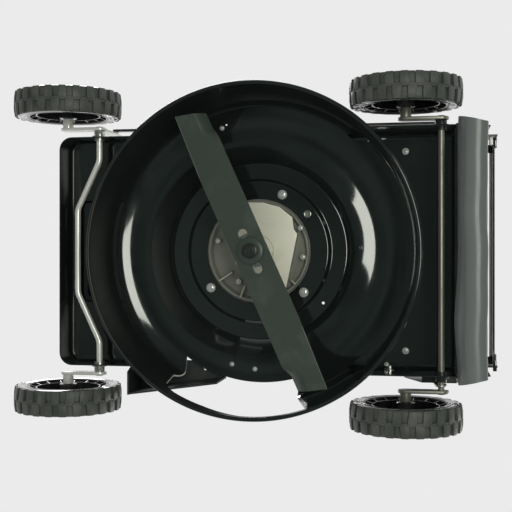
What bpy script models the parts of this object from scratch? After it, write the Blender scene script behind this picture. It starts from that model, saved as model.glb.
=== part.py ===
"""Walk-behind rotary lawn mower with a pressed steel deck, folded handle and side discharge.

Metres, +Z up, ground at Z = 0. +X is the rear of the mower and +Y its right side, where the
cut grass leaves. Shapes are worked out from the crankshaft's axis, and the empty "mower"
carries them all to the middle of the mower's footprint.
"""

import math

import bmesh
import bpy
from mathutils import Matrix, Vector

# Where the crankshaft stands in the footprint
crank_x = 0.0095
crank_y = -0.006

# Gaps between pieces
seat_gap = 0.0003
bore_gap = 0.0003

# Wheels and axles
wheel_radius = 0.089
tyre_width = 0.044
tread_depth = 0.0045
tread_blocks = 24
rim_radius = 0.0655
hub_radius = 0.015
hub_length = 0.044
rib_count = 10
front_wheel_x = -0.318
rear_wheel_x = 0.242
front_wheel_y = 0.244
rear_wheel_y = 0.254
rear_axle_shift = 0.006
crank_arm = 0.055
arm_thickness = 0.005
arm_radius = 0.012
nut_height = 0.008
nut_radius = 0.009
collar_radius = 0.009
bush_radius = 0.009
bush_flange_radius = 0.013
bush_flange = 0.0025
bush_inset = 0.005
pin_radius = 0.003
front_pin_hole = 0.0045
front_bend_places = (0.150, 0.070)
front_bend_radius = 0.022
rod_radius = 0.005
spindle_radius = 0.006
front_rod_set = 0.038
front_arm_y = 0.2035
rear_arm_y = 0.214
tie_rod_lift = 0.090
tie_rod_height = 0.012
tie_rod_thickness = 0.004
lever_length = 0.190
lever_lean = 95.0
lever_half_width = 0.009
quadrant_offset = 0.0112
quadrant_thickness = 0.003
quadrant_radius = 0.095
notch_radius = 0.088
notch_count = 6
notch_size = 0.0035

# Pressed deck
sheet = 0.002
plate_height = 0.128
plate_radius = 0.116
shelf_height = 0.134
channel_radius = 0.152
crown_radius = 0.185
roof_height = 0.153
wall_radius = 0.240
shoulder_height = 0.126
foot_radius = 0.262
foot_height = 0.044
rim_height = 0.036
rim_outer_radius = 0.2675
engine_hole_radius = 0.087
round_steps = 42
apron_front = -0.326
apron_half_width = 0.189
apron_roof = 0.122
apron_foot = 0.070
apron_corner = 0.030
apron_edge = 0.007
tunnel_edge = 0.010
pocket_edge = 0.004
pocket_corner = 0.014
plate_ramp = 0.005
channel_rise = 0.012
pocket_front = -0.312
pocket_half_width = 0.088
pocket_roof = 0.136
tunnel_end = 0.372
tunnel_half_width = 0.195
tunnel_foot = 0.065
tail_start = 0.330
tail_foot = 0.084
rear_baffle_top = 0.092
discharge_front = -0.143
discharge_rear_low = 0.088
discharge_rear_high = 0.064
discharge_corner = 0.020
discharge_brow = 0.124
discharge_foot = 0.048
discharge_radius = 0.221

# Blade and its drive
blade_angle = 65.9
blade_length = 0.493
blade_width = 0.056
blade_tip_taper = 0.004
blade_heel_trim = 0.014
blade_height = 0.048
blade_thickness = 0.004
wing_length = 0.062
wing_ramp = 0.027
wing_lift = 0.014
wing_tuck = 0.0055
wing_crease = 0.004
edge_length = 0.110
edge_grind = 0.0055
blade_hole_offset = 0.030
blade_hole_radius = 0.0075
bolt_head_radius = 0.0105
bolt_head_height = 0.012
washer_thickness = 0.003
adapter_radius = 0.020
adapter_flange_radius = 0.028
adapter_flange = 0.006
adapter_top = 0.098
adapter_floor = 0.005
bolt_end = 0.078
shaft_shoulder = 0.2285
shaft_tip_radius = 0.009
shaft_top = 0.268
fin_thickness = 0.002
shaft_radius = 0.0127
bolt_radius = 0.005
washer_radius = 0.022

# Engine
bolt_circle_radius = 0.1016
bolt_angles = (-67, 42, 143)
engine_bolt_radius = 0.004
flange_radius = 0.112
flange_top = 0.142
sump_top = 0.150
sump_rim = 0.124
sump_floor = 0.132
sump_face = 0.114
sump_plate = ((-0.014, 0.054), (-0.036, 0.020), (-0.044, -0.030), (-0.018, -0.0805), (0.010, -0.0800),
              (0.037, -0.0725), (0.058, -0.0555), (0.0605, -0.0360), (0.066, -0.0280),
              (0.048, 0.0590), (0.030, 0.0660))
sump_screws = ((0.0712, -0.0380), (0.0755, 0.0098), (-0.0671, -0.0174), (-0.0324, 0.0503))
sump_screw_radius = 0.0048
sump_ribs = (((-0.0433, 0.035), (-0.0665, 0.0500)), ((-0.0222, 0.0571), (-0.0300, 0.0770)),
             ((0.0552, 0.0479), (0.0625, 0.0545)))
crankcase_half = 0.062
crankcase_top = 0.222
cylinder_end = -0.125
cylinder_half_width = 0.042
head_end = -0.150
cover_end = -0.178
shroud_radius = 0.100
shroud_top = 0.296
shroud_wall = 0.0025
recoil_radius = 0.084
recoil_top = 0.334
flywheel_radius = 0.085
tank_half_width = 0.080
tank_depth = 0.066
tank_gap = 0.0006
cap_place = (0.038, 0.050, 0.2923)
recoil_slots = 8
pull_way = (0.8, 0.0, 0.6)
grip_start = (0.094, -0.014)
rope_hole = 0.004
filler_place = (0.083, 0.083)
filler_height = 0.066
filler_radius = 0.0105
filler_bore = 0.0075
stick_radius = 0.004
stick_length = 0.060
air_box_face = -0.158
air_box_back = -0.112
primer_place = (-0.058, 0.186)
primer_radius = 0.012
throat_place = (-0.094, 0.198)
bowl_side = 0.085
plug_place = (-0.138, 0.190)
fin_reach = 0.008
fin_half = 0.0015
bolt_flange_radius = 0.0078
bolt_head_half = 0.0065

# Flaps and the rear door
flap_rod_radius = 0.003
side_flap_axis = (0.196, 0.1655)
side_flap_front = -0.214
side_flap_rear = -0.062
side_flap_foot = 0.085
side_flap_roof = (0.158, 0.161)
side_flap_edge = (0.238, 0.2168)
side_flap_inner = (0.187, 0.193, 0.203)
side_flap_knuckle = 0.0062
bracket_span = (-0.100, -0.002)
bracket_inner = 0.172
flap_wall = 0.003
tail_flap_axis = (0.322, 0.074)
tail_flap_roll = 0.0048
tail_flap_half_width = 0.2055
tail_flap_foot_half_width = 0.193
tail_flap_wall = 0.003
door_axis = (0.378, 0.166)
door_left = -0.173
door_right = 0.184
door_foot = 0.062
door_tab = 0.016
door_offset = 0.0035
door_knuckle = 0.005

# Handle
handle_tube = 0.011
handle_pivot = (0.340, 0.178)
handle_half_width = 0.174
lower_length = 0.558
knee_setback = 0.058
lower_reach = lower_length - knee_setback
lower_fold_angle = 156.0
upper_half_width = 0.198
upper_length = 0.484
upper_fold_angle = 4.0
bail_reach = 0.400
bail_length = 0.098
bail_angle = 37.0
bail_tube = 0.004
bend_radius = 0.050
bracket_gap = 0.0012
bracket_sheet = 0.003
bracket_front = 0.325
bracket_rear = 0.388
bracket_top = 0.205
stud_radius = 0.004
stud_inner_end = 0.158
stud_head_radius = 0.007
grip_radius = 0.0155
grip_half = 0.125
knob_radius = 0.010
knob_depth = 0.012
knob_wing = 0.019


def clear_scene():
    for old in list(bpy.data.objects):
        bpy.data.objects.remove(old, do_unlink=True)


def new_collection(name):
    made = bpy.data.collections.new(name)
    bpy.context.scene.collection.children.link(made)
    return made


clear_scene()
parts = new_collection("lawn_mower")
workshop = new_collection("workshop")
empties = {}
origins = {}


def joint(name, x, y, z, parent=None):
    """An empty on the axis of a moving piece, carried by another one."""
    empty = bpy.data.objects.new(name, None)
    empty.empty_display_size = 0.03
    parts.objects.link(empty)
    origins[name] = Vector((x, y, z))
    empties[name] = empty
    if parent:
        empty.parent = empties[parent]
        empty.location = origins[name] - origins[parent]
    else:
        empty.location = (crank_x, crank_y, 0)


def material(name, colour, roughness, metallic=0.0):
    made = bpy.data.materials.new(name)
    made.use_nodes = True
    shader = made.node_tree.nodes["Principled BSDF"]
    shader.inputs["Base Color"].default_value = (*colour, 1)
    shader.inputs["Roughness"].default_value = roughness
    shader.inputs["Metallic"].default_value = metallic
    made.diffuse_color = (*colour, 1)
    return made


gloss_black = material("gloss_black_enamel", (0.012, 0.013, 0.013), 0.12)
satin_black = material("satin_black_paint", (0.020, 0.021, 0.021), 0.45)
zinc = material("zinc_plate", (0.62, 0.62, 0.58), 0.30, 1.0)
blade_steel = material("painted_blade_steel", (0.045, 0.055, 0.048), 0.40)
cast_alloy = material("cast_aluminium", (0.58, 0.55, 0.47), 0.50, 0.6)
tyre_plastic = material("tyre_plastic", (0.060, 0.065, 0.060), 0.60)
rim_plastic = material("rim_plastic", (0.015, 0.016, 0.016), 0.40)
flap_rubber = material("flap_rubber", (0.085, 0.092, 0.090), 0.55)
hood_plastic = material("hood_plastic", (0.035, 0.038, 0.038), 0.55)
cover_plastic = material("engine_cover_plastic", (0.018, 0.019, 0.020), 0.35)
hot_steel = material("muffler_steel", (0.20, 0.19, 0.18), 0.55, 0.9)
handle_paint = material("handle_paint", (0.016, 0.017, 0.017), 0.30)
foam = material("grip_foam", (0.020, 0.020, 0.020), 0.90)
ceramic = material("plug_ceramic", (0.75, 0.73, 0.68), 0.25)


def as_object(bm, name="form"):
    mesh = bpy.data.meshes.new(name)
    bm.to_mesh(mesh)
    bm.free()
    made = bpy.data.objects.new(name, mesh)
    workshop.objects.link(made)
    return made


def settled(form):
    """The mesh that an object's curve or modifiers make, as a plain closed object."""
    bpy.context.view_layer.update()
    graph = bpy.context.evaluated_depsgraph_get()
    mesh = bpy.data.meshes.new_from_object(form.evaluated_get(graph))
    bm = bmesh.new()
    bm.from_mesh(mesh)
    bmesh.ops.remove_doubles(bm, verts=bm.verts, dist=0.000002)
    bmesh.ops.dissolve_degenerate(bm, edges=bm.edges, dist=0.000002)
    bmesh.ops.recalc_face_normals(bm, faces=bm.faces)
    bm.to_mesh(mesh)
    bm.free()
    made = bpy.data.objects.new(form.name, mesh)
    made.matrix_world = form.matrix_world
    workshop.objects.link(made)
    bpy.data.objects.remove(form)
    return made


def combined(target, tools, operation):
    for tool in tools:
        change = target.modifiers.new("change", "BOOLEAN")
        change.solver = "EXACT"
        change.operation = operation
        change.object = tool
        target = settled(target)
        bpy.data.objects.remove(tool)
    return target


def cut(target, *tools):
    return combined(target, tools, "DIFFERENCE")


def fused(target, *tools):
    return combined(target, tools, "UNION")


def common(target, *tools):
    return combined(target, tools, "INTERSECT")


def box(x, y, z):
    """A block between the low and high values of each axis."""
    bm = bmesh.new()
    bmesh.ops.create_cube(bm, size=1.0)
    size = Vector((x[1] - x[0], y[1] - y[0], z[1] - z[0]))
    middle = Vector((x[0] + x[1], y[0] + y[1], z[0] + z[1])) / 2
    bmesh.ops.scale(bm, vec=size, verts=bm.verts)
    bmesh.ops.translate(bm, vec=middle, verts=bm.verts)
    return as_object(bm)


def rounded(form, radius, steps, choose):
    """Round the edges of a form that the test picks from an edge's middle and direction."""
    bm = bmesh.new()
    bm.from_mesh(form.data)
    picked = []
    for edge in bm.edges:
        start, end = (vertex.co for vertex in edge.verts)
        if choose((start + end) / 2, (end - start).normalized()):
            picked.append(edge)
    bmesh.ops.bevel(bm, geom=picked, offset=radius, segments=steps, profile=0.5, affect="EDGES")
    bm.to_mesh(form.data)
    bm.free()
    return form


def rod(start, end, radius, sides=16, end_radius=None):
    """A cylinder or cone between two points."""
    start, end = Vector(start), Vector(end)
    bm = bmesh.new()
    last = radius if end_radius is None else end_radius
    bmesh.ops.create_cone(bm, cap_ends=True, segments=sides, radius1=radius, radius2=last,
                          depth=(end - start).length)
    turn = (end - start).to_track_quat("Z", "Y").to_matrix().to_4x4()
    bmesh.ops.transform(bm, matrix=Matrix.Translation((start + end) / 2) @ turn, verts=bm.verts)
    return as_object(bm)


def turned(profile, steps, ring=False, axis="Z", centre=(0, 0, 0)):
    """Turn a profile of (radius, along) points, which runs down its outer side."""
    bm = bmesh.new()
    corners = [bm.verts.new((radius, 0, along)) for radius, along in profile]
    for one, other in zip(corners, corners[1:]):
        bm.edges.new((one, other))
    if ring:
        bm.edges.new((corners[-1], corners[0]))
    form = as_object(bm)
    screw = form.modifiers.new("turn", "SCREW")
    screw.axis = "Z"
    screw.angle = math.tau
    screw.steps = steps
    screw.render_steps = steps
    screw.use_merge_vertices = True
    screw.merge_threshold = 0.000001
    form = settled(form)
    tip = {"Z": Matrix.Identity(4),
           "Y": Matrix.Rotation(math.radians(-90), 4, "X"),
           "X": Matrix.Rotation(math.radians(90), 4, "Y")}[axis]
    form.data.transform(Matrix.Translation(centre) @ tip)
    return form


def arc(centre, radius, start, end, steps):
    """Points on a round stretch, with its angles in degrees."""
    angles = [math.radians(start + (end - start) * step / steps) for step in range(steps + 1)]
    return [(centre[0] + radius * math.cos(a), centre[1] + radius * math.sin(a)) for a in angles]


def slot_outline(one, other, radius, steps=6):
    """The outline of a link with a round end about each of two points."""
    facing = math.degrees(math.atan2(other[1] - one[1], other[0] - one[0]))
    return (arc(other, radius, facing - 90, facing + 90, steps)
            + arc(one, radius, facing + 90, facing + 270, steps))


def plate(outline, low, high, across="Z"):
    """A flat piece with this outline, between two places along one axis."""
    curve = bpy.data.curves.new("outline", "CURVE")
    curve.dimensions = "2D"
    curve.fill_mode = "BOTH"
    curve.extrude = (high - low) / 2
    spline = curve.splines.new("POLY")
    spline.points.add(len(outline) - 1)
    for point, (a, b) in zip(spline.points, outline):
        point.co = (a, b, 0, 1)
    spline.use_cyclic_u = True
    form = bpy.data.objects.new("plate", curve)
    workshop.objects.link(form)
    form = settled(form)
    level = (low + high) / 2
    tip = {"Z": Matrix.Translation((0, 0, level)),
           "Y": Matrix.Translation((0, level, 0)) @ Matrix.Rotation(math.radians(90), 4, "X"),
           "X": Matrix(((0, 0, 1, level), (1, 0, 0, 0), (0, 1, 0, 0), (0, 0, 0, 1)))}[across]
    form.data.transform(tip)
    return form


def bent_path(corners, radius, steps=5):
    """A path through corners, each rounded between points this far from the corner."""
    corners = [Vector(corner) for corner in corners]
    path = [corners[0]]
    for before, corner, after in zip(corners, corners[1:], corners[2:]):
        start = corner + (before - corner).normalized() * radius
        end = corner + (after - corner).normalized() * radius
        for step in range(steps + 1):
            t = step / steps
            path.append(start * (1 - t) ** 2 + corner * 2 * t * (1 - t) + end * t ** 2)
    path.append(corners[-1])
    return path


def tube(path, radius, sides=10):
    curve = bpy.data.curves.new("path", "CURVE")
    curve.dimensions = "3D"
    curve.bevel_depth = radius
    curve.bevel_resolution = (sides - 4) // 2
    curve.use_fill_caps = True
    spline = curve.splines.new("POLY")
    spline.points.add(len(path) - 1)
    for point, place in zip(spline.points, path):
        point.co = (*place, 1)
    form = bpy.data.objects.new("tube", curve)
    workshop.objects.link(form)
    return settled(form)


def piece(name, form, look, carrier="mower"):
    """Name a finished form, give it its material and hang it on the empty that carries it."""
    form.name = name
    form.data.name = name
    form.data.transform(Matrix.Translation(-origins[carrier]))
    form.parent = empties[carrier]
    form.data.materials.clear()
    form.data.materials.append(look)
    form.data.shade_smooth()
    form.data.set_sharp_from_angle(angle=math.radians(32))
    workshop.objects.unlink(form)
    parts.objects.link(form)
    return form


def offset_line(line, distance):
    """A line beside another, this far to the left of its direction."""
    moved = []
    for index, point in enumerate(line):
        ways = []
        if index > 0:
            ways.append((Vector(point) - Vector(line[index - 1])).normalized())
        if index < len(line) - 1:
            ways.append((Vector(line[index + 1]) - Vector(point)).normalized())
        lefts = [Vector((-way.y, way.x)) for way in ways]
        middle = sum(lefts, Vector((0, 0))).normalized()
        moved.append(tuple(Vector(point) + middle * distance / middle.dot(lefts[0])))
    return moved


def underside():
    """The round housing's underside, from its flat engine plate to the foot of the skirt."""
    line = [(0, plate_height), (plate_radius, plate_height), (plate_radius + plate_ramp, shelf_height),
            (channel_radius - plate_ramp, shelf_height)]
    channel_foot = shelf_height + channel_rise
    for angle in (0, 50, 90):
        t = math.radians(angle)
        line.append((crown_radius - (crown_radius - channel_radius) * math.cos(t),
                     channel_foot + (roof_height - channel_foot) * math.sin(t)))
    for index in range(1, 4):
        t = math.radians(30 * index)
        line.append((crown_radius + (wall_radius - crown_radius) * math.sin(t),
                     shoulder_height + (roof_height - shoulder_height) * math.cos(t)))
    line.append((foot_radius, foot_height))
    return line


def rim_bead():
    """The rolled edge round the foot of the skirt, down its outer side."""
    size = rim_outer_radius - foot_radius - sheet
    return [(rim_outer_radius, foot_height - 0.003), (rim_outer_radius, rim_height + 0.002),
            (rim_outer_radius - size * 0.4, rim_height)]


def skirt_ring():
    """The skirt alone, the full way round, from which the baffles are taken."""
    inner = underside()[-2:]
    outer = offset_line(underside(), sheet)[-2:]
    profile = outer + rim_bead() + [(foot_radius, rim_height)] + inner[::-1]
    return turned(profile, round_steps, ring=True)


def apron_room(shrink):
    """The space under the front apron and its raised pocket."""
    half = apron_half_width - sheet - shrink
    room = box((apron_front + sheet + shrink, -0.10), (-half, half), (-0.02, apron_roof - sheet - shrink))
    rounded(room, apron_corner - sheet, 4, lambda at, way: abs(way.z) > 0.9 and at.x < -0.2)
    rounded(room, apron_edge - sheet, 2, lambda at, way: at.z > apron_roof - 0.005 and at.x < -0.11)
    half = pocket_half_width - sheet - shrink
    pocket = box((pocket_front + sheet + shrink, -crown_radius), (-half, half),
                 (0.05, pocket_roof - sheet - shrink))
    rounded(pocket, pocket_corner - sheet, 2, lambda at, way: abs(way.z) > 0.9 and at.x < -0.2)
    rounded(pocket, pocket_edge - sheet, 1, lambda at, way: at.z > pocket_roof - 0.005 and at.x < -0.2)
    return fused(room, pocket)


def tunnel_room(shrink):
    """The space in the rear tunnel, outside the blade's channel."""
    half = tunnel_half_width - sheet - shrink
    room = box((0.10, tunnel_end + 0.03), (-half, half), (-0.02, roof_height))
    rounded(room, tunnel_edge - sheet, 2, lambda at, way: at.z > roof_height - 0.001 and abs(way.x) > 0.9)
    return cut(room, rod((0, 0, -0.1), (0, 0, 0.3), wall_radius - sheet, round_steps))


def deck_form():
    top = offset_line(underside(), sheet)
    body = turned(top + rim_bead() + [(0, rim_height)], round_steps)
    apron = box((apron_front, -0.10), (-apron_half_width, apron_half_width), (apron_foot, apron_roof))
    rounded(apron, apron_corner, 4, lambda at, way: abs(way.z) > 0.9 and at.x < -0.2)
    rounded(apron, apron_edge, 2, lambda at, way: at.z > apron_roof - 0.001 and at.x < -0.11)
    pocket = box((pocket_front, -crown_radius), (-pocket_half_width, pocket_half_width), (0.10, pocket_roof))
    rounded(pocket, pocket_corner, 2, lambda at, way: abs(way.z) > 0.9 and at.x < -0.2)
    rounded(pocket, pocket_edge, 1, lambda at, way: at.z > pocket_roof - 0.001 and at.x < -0.2)
    tunnel = box((0.10, tunnel_end), (-tunnel_half_width, tunnel_half_width),
                 (tunnel_foot, roof_height + sheet))
    rounded(tunnel, tunnel_edge, 2, lambda at, way: at.z > roof_height and abs(way.x) > 0.9)
    tunnel = cut(tunnel, rod((0, 0, -0.1), (0, 0, 0.3), wall_radius - 2 * sheet, round_steps))
    body = fused(body, apron, pocket, tunnel)

    line = underside()
    hollow = turned(line + [(foot_radius, -0.02), (0, -0.02)], round_steps)
    body = cut(body, hollow, apron_room(0), tunnel_room(0))
    tail = box((tail_start, tunnel_end + 0.03), (-0.25, 0.25), (0.0, tail_foot))
    engine_hole = rod((0, 0, 0.1), (0, 0, 0.2), engine_hole_radius, 36)
    body = cut(body, tail, engine_hole, discharge_cutter())
    for angle in bolt_angles:
        body = cut(body, bolt_hole(angle, 0.1, 0.2))
    front_x = front_wheel_x + crank_arm
    rear_x = rear_wheel_x + crank_arm
    for x in (front_x, rear_x):
        body = cut(body, rod((x, -0.3, wheel_radius), (x, 0.3, wheel_radius), bush_radius + bore_gap, 12))
    flap_x, flap_z = tail_flap_axis
    bore = flap_rod_radius + bore_gap
    return cut(body, rod((flap_x, -0.3, flap_z), (flap_x, 0.3, flap_z), bore, 8))


def discharge_cutter():
    """The side discharge opening, as seen from the mower's side, outside the dome."""
    corner = (discharge_front + discharge_corner, discharge_foot + discharge_corner)
    outline = arc(corner, discharge_corner, 180, 270, 2)
    outline += [(discharge_rear_low, discharge_foot), (discharge_rear_high, 0.130),
                (discharge_rear_high, 0.180), (discharge_front + 0.027, 0.180),
                (discharge_front + 0.024, discharge_brow + 0.004), (discharge_front, discharge_brow)]
    opening = plate(outline, 0.10, 0.32, "Y")
    return cut(opening, rod((0, 0, 0), (0, 0, 0.3), discharge_radius, round_steps))


def bolt_hole(angle, low, high):
    x = bolt_circle_radius * math.cos(math.radians(angle))
    y = bolt_circle_radius * math.sin(math.radians(angle))
    return rod((x, y, low), (x, y, high), engine_bolt_radius + bore_gap, 10)


def front_baffle_form():
    return common(skirt_ring(), apron_room(seat_gap))


def rear_baffle_form():
    half = tunnel_half_width - sheet - seat_gap
    return common(skirt_ring(), box((0.1, 0.3), (-half, half), (0, rear_baffle_top)))


def bush_form(x, side, outer_end, wall):
    """A flanged sleeve through the deck's side wall, round an axle rod."""
    bore = rod_radius + bore_gap
    face = wall + seat_gap
    inner_end = wall - bush_inset
    ring = [(bore, outer_end), (bush_radius, outer_end), (bush_radius, face + bush_flange),
            (bush_flange_radius, face + bush_flange), (bush_flange_radius, face), (bush_radius, face),
            (bush_radius, inner_end), (bore, inner_end)]
    form = turned(ring, 10, ring=True, axis="Y")
    if side < 0:
        form.data.transform(Matrix.Rotation(math.pi, 4, "X"))
    form.data.transform(Matrix.Translation((x, 0, wheel_radius)))
    return form


def axle_form(rod_x, path, left, right, left_end, right_end, lever_left):
    """A bent rod with a crank arm, a spindle and a nut at each end, welded in one piece."""
    form = tube(path, rod_radius, 8)
    wheel_x = rod_x - crank_arm
    for side, arm, end in ((-1, left, left_end), (1, right, right_end)):
        inner, outer = sorted((side * (arm - arm_thickness / 2), side * (arm + arm_thickness / 2)))
        link = plate(slot_outline((rod_x, wheel_radius), (wheel_x, wheel_radius), arm_radius),
                     inner, outer, "Y")
        spindle = rod((wheel_x, side * (arm - 0.001), wheel_radius),
                      (wheel_x, side * (end - 0.001), wheel_radius), spindle_radius, 10)
        collar_end = end - nut_height - hub_length - 2 * seat_gap
        collar = rod((wheel_x, side * (arm + 0.001), wheel_radius),
                     (wheel_x, side * collar_end, wheel_radius), collar_radius, 10)
        nut = rod((wheel_x, side * (end - nut_height), wheel_radius), (wheel_x, side * end, wheel_radius),
                  nut_radius, 6)
        form = fused(form, link, spindle, collar, nut)
        if side < 0 and lever_left:
            top = wheel_radius + tie_rod_lift
            upright = plate(slot_outline((rod_x, wheel_radius), (rod_x, top), 0.009),
                            inner + 0.0005, outer - 0.0005, "Y")
            pin_end = inner - tie_rod_thickness - 0.0015
            pin = rod((rod_x, inner + 0.001, top), (rod_x, pin_end, top), pin_radius, 10)
            form = fused(form, upright, pin)
    return form


def tyre_form():
    """Two staggered rows of slanted tread blocks round a hollow tyre, about the Y axis."""
    half = tyre_width / 2
    base = wheel_radius - tread_depth
    groove = 0.0015
    bead_radius = (rim_radius + seat_gap) / math.cos(math.pi / tread_blocks)
    profile = [(bead_radius, -half), (base, -half + 0.002), (base, -groove),
               (base, groove), (base, half - 0.002), (bead_radius, half)]
    form = turned(profile[::-1], tread_blocks, ring=True, axis="Y")
    bm = bmesh.new()
    bm.from_mesh(form.data)
    step = math.tau / tread_blocks
    for vertex in bm.verts:
        if math.hypot(vertex.co.x, vertex.co.z) < base - 0.001:
            continue
        turn = 0.5 * step if vertex.co.y > 0 else 0.0
        if abs(vertex.co.y) < 2 * groove:
            turn += 0.35 * step
        vertex.co = Matrix.Rotation(turn, 3, "Y") @ vertex.co
    row = [face for face in bm.faces
           if min(math.hypot(v.co.x, v.co.z) for v in face.verts) > base - 0.001
           and abs(face.calc_center_median().y) > 2 * groove]
    raised = bmesh.ops.extrude_discrete_faces(bm, faces=row)["faces"]
    for face in raised:
        middle = face.calc_center_median()
        for vertex in face.verts:
            place = middle + (vertex.co - middle) * 0.76
            reach = wheel_radius / math.hypot(place.x, place.z)
            vertex.co = (place.x * reach, place.y, place.z * reach)
    bmesh.ops.recalc_face_normals(bm, faces=bm.faces)
    bm.to_mesh(form.data)
    bm.free()
    return form


def wheel_rim_form():
    """A moulded rim: barrel, web, hub and thin radial ribs, about the Y axis."""
    half = tyre_width / 2 - 0.002
    bore = spindle_radius + bore_gap
    barrel = rim_radius - 0.003
    web = 0.004
    profile = [(bore, hub_length / 2), (hub_radius, hub_length / 2), (hub_radius, web), (barrel, web),
               (rim_radius, half), (rim_radius, -half), (barrel, 0),
               (hub_radius, 0), (hub_radius, -hub_length / 2), (bore, -hub_length / 2)]
    form = turned(profile, 14, ring=True, axis="Y")
    for index in range(rib_count):
        rib = box((hub_radius - 0.002, barrel + 0.001), (-0.012, web / 2), (-0.0008, 0.0008))
        rib.data.transform(Matrix.Rotation(math.tau * (index + 0.5) / rib_count, 4, "Y"))
        form = fused(form, rib)
    for side in (-1, 1):
        form = cut(form, rod((side * 0.024, -0.02, 0), (side * 0.024, 0.02, 0), 0.005, 6))
    return form


def add_wheels():
    for end, x, y, shift in (("front", front_wheel_x, front_wheel_y, 0.0),
                             ("rear", rear_wheel_x, rear_wheel_y, rear_axle_shift)):
        for side_name, side in (("left", -1), ("right", 1)):
            spin = f"{end}_{side_name}_wheel_spin"
            joint(spin, x, side * y + shift, wheel_radius, f"{end}_axle_pivot")
            for kind, form, look in (("tyre", tyre_form(), tyre_plastic),
                                     ("wheel_rim", wheel_rim_form(), rim_plastic)):
                if side < 0:
                    form.data.transform(Matrix.Rotation(math.pi, 4, "Z"))
                form.data.transform(Matrix.Translation(origins[spin]))
                piece(f"{end}_{side_name}_{kind}", form, look, spin)


def add_axles():
    front_x = front_wheel_x + crank_arm
    rear_x = rear_wheel_x + crank_arm
    joint("front_axle_pivot", front_x, 0, wheel_radius, "mower")
    joint("rear_axle_pivot", rear_x, 0, wheel_radius, "mower")
    z = wheel_radius
    set_x = front_x - front_rod_set
    outer, inner = front_bend_places
    path = bent_path([(front_x, -front_arm_y, z), (front_x, -outer, z), (set_x, -inner, z),
                      (set_x, inner, z), (front_x, outer, z), (front_x, front_arm_y, z)],
                     front_bend_radius, 3)
    nut_reach = hub_length / 2 + seat_gap + nut_height
    front_end = front_wheel_y + nut_reach
    piece("front_axle", axle_form(front_x, path, front_arm_y, front_arm_y, front_end, front_end, True),
          zinc, "front_axle_pivot")
    left = rear_arm_y - rear_axle_shift
    right = rear_arm_y + rear_axle_shift + 0.001
    path = [(rear_x, -left, z), (rear_x, right, z)]
    left_end = rear_wheel_y - rear_axle_shift + nut_reach
    right_end = rear_wheel_y + rear_axle_shift + nut_reach
    piece("rear_axle", axle_form(rear_x, path, left, right, left_end, right_end, True),
          zinc, "rear_axle_pivot")
    front_end = front_arm_y - arm_thickness / 2 - seat_gap
    rear_ends = {"left": left - arm_thickness / 2 - seat_gap,
                 "right": tunnel_half_width + quadrant_offset - 0.001}
    for side_name, side in (("left", -1), ("right", 1)):
        piece(f"front_bush_{side_name}", bush_form(front_x, side, front_end, apron_half_width), zinc)
        rear = bush_form(rear_x, side, rear_ends[side_name], tunnel_half_width)
        piece(f"rear_bush_{side_name}", rear, satin_black)
    add_tie_rod(front_x, rear_x, left)
    add_height_lever(rear_x, right)


def add_tie_rod(front_x, rear_x, rear_left):
    """The flat bar that turns both axles together, on pins at the top of their left arms."""
    top = wheel_radius + tie_rod_lift
    joint("tie_rod_pivot", rear_x, 0, top, "rear_axle_pivot")
    outer = -rear_left - arm_thickness / 2 - seat_gap
    bar = plate(slot_outline((front_x, top), (rear_x, top), tie_rod_height / 2 + 0.001),
                outer - tie_rod_thickness, outer, "Y")
    rear_hole = rod((rear_x, outer - 0.02, top), (rear_x, outer + 0.02, top), pin_radius + bore_gap, 10)
    front_hole = rod((front_x, outer - 0.02, top), (front_x, outer + 0.02, top), front_pin_hole, 10)
    piece("tie_rod", cut(bar, rear_hole, front_hole), zinc, "tie_rod_pivot")


def add_height_lever(rear_x, right):
    """The notched quadrant on the deck and the lever that turns the rear axle."""
    z = wheel_radius
    low = tunnel_half_width + quadrant_offset
    high = low + quadrant_thickness
    front, rear = rear_x - 0.030, rear_x + 0.024
    outline = arc((rear_x, z), quadrant_radius, 62, 128, 12) + [(front, z + 0.016), (rear, z + 0.016)]
    quadrant = plate(outline, low, high, "Y")
    foot = box((front, rear), (tunnel_half_width + seat_gap, high), (z + 0.016, z + 0.020))
    quadrant = fused(quadrant, foot)
    for index in range(notch_count):
        a = math.radians(70 + 10 * index)
        x = rear_x + notch_radius * math.cos(a)
        y = z + notch_radius * math.sin(a)
        quadrant = cut(quadrant, rod((x, low - 0.01, y), (x, high + 0.01, y), notch_size, 8))
    piece("height_quadrant", quadrant, satin_black)
    low = high + 2 * seat_gap
    high = low + quadrant_thickness
    lean = math.radians(lever_lean)
    tip = (rear_x + lever_length * math.cos(lean), z + lever_length * math.sin(lean))
    lever = plate(slot_outline((rear_x, z), tip, lever_half_width), low, high, "Y")
    lever = cut(lever, rod((rear_x, low - 0.01, z), (rear_x, high + 0.01, z), rod_radius + bore_gap, 10))
    piece("height_lever", lever, zinc, "rear_axle_pivot")
    along = Vector((math.cos(lean), 0, math.sin(lean)))
    top = Vector((tip[0], (low + high) / 2, tip[1])) + along * (lever_half_width + 0.0005)
    grip = rod(top, top + along * 0.030, 0.010, 12, 0.013)
    piece("height_lever_grip", grip, cover_plastic, "rear_axle_pivot")


def sliced(form, axis, places):
    """Add a cut line to a form at each of these places along one axis."""
    bm = bmesh.new()
    bm.from_mesh(form.data)
    normal = Vector((axis == "X", axis == "Y", axis == "Z"))
    for place in places:
        everything = list(bm.verts) + list(bm.edges) + list(bm.faces)
        bmesh.ops.bisect_plane(bm, geom=everything, plane_co=normal * place, plane_no=normal)
    bm.to_mesh(form.data)
    bm.free()
    return form


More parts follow.
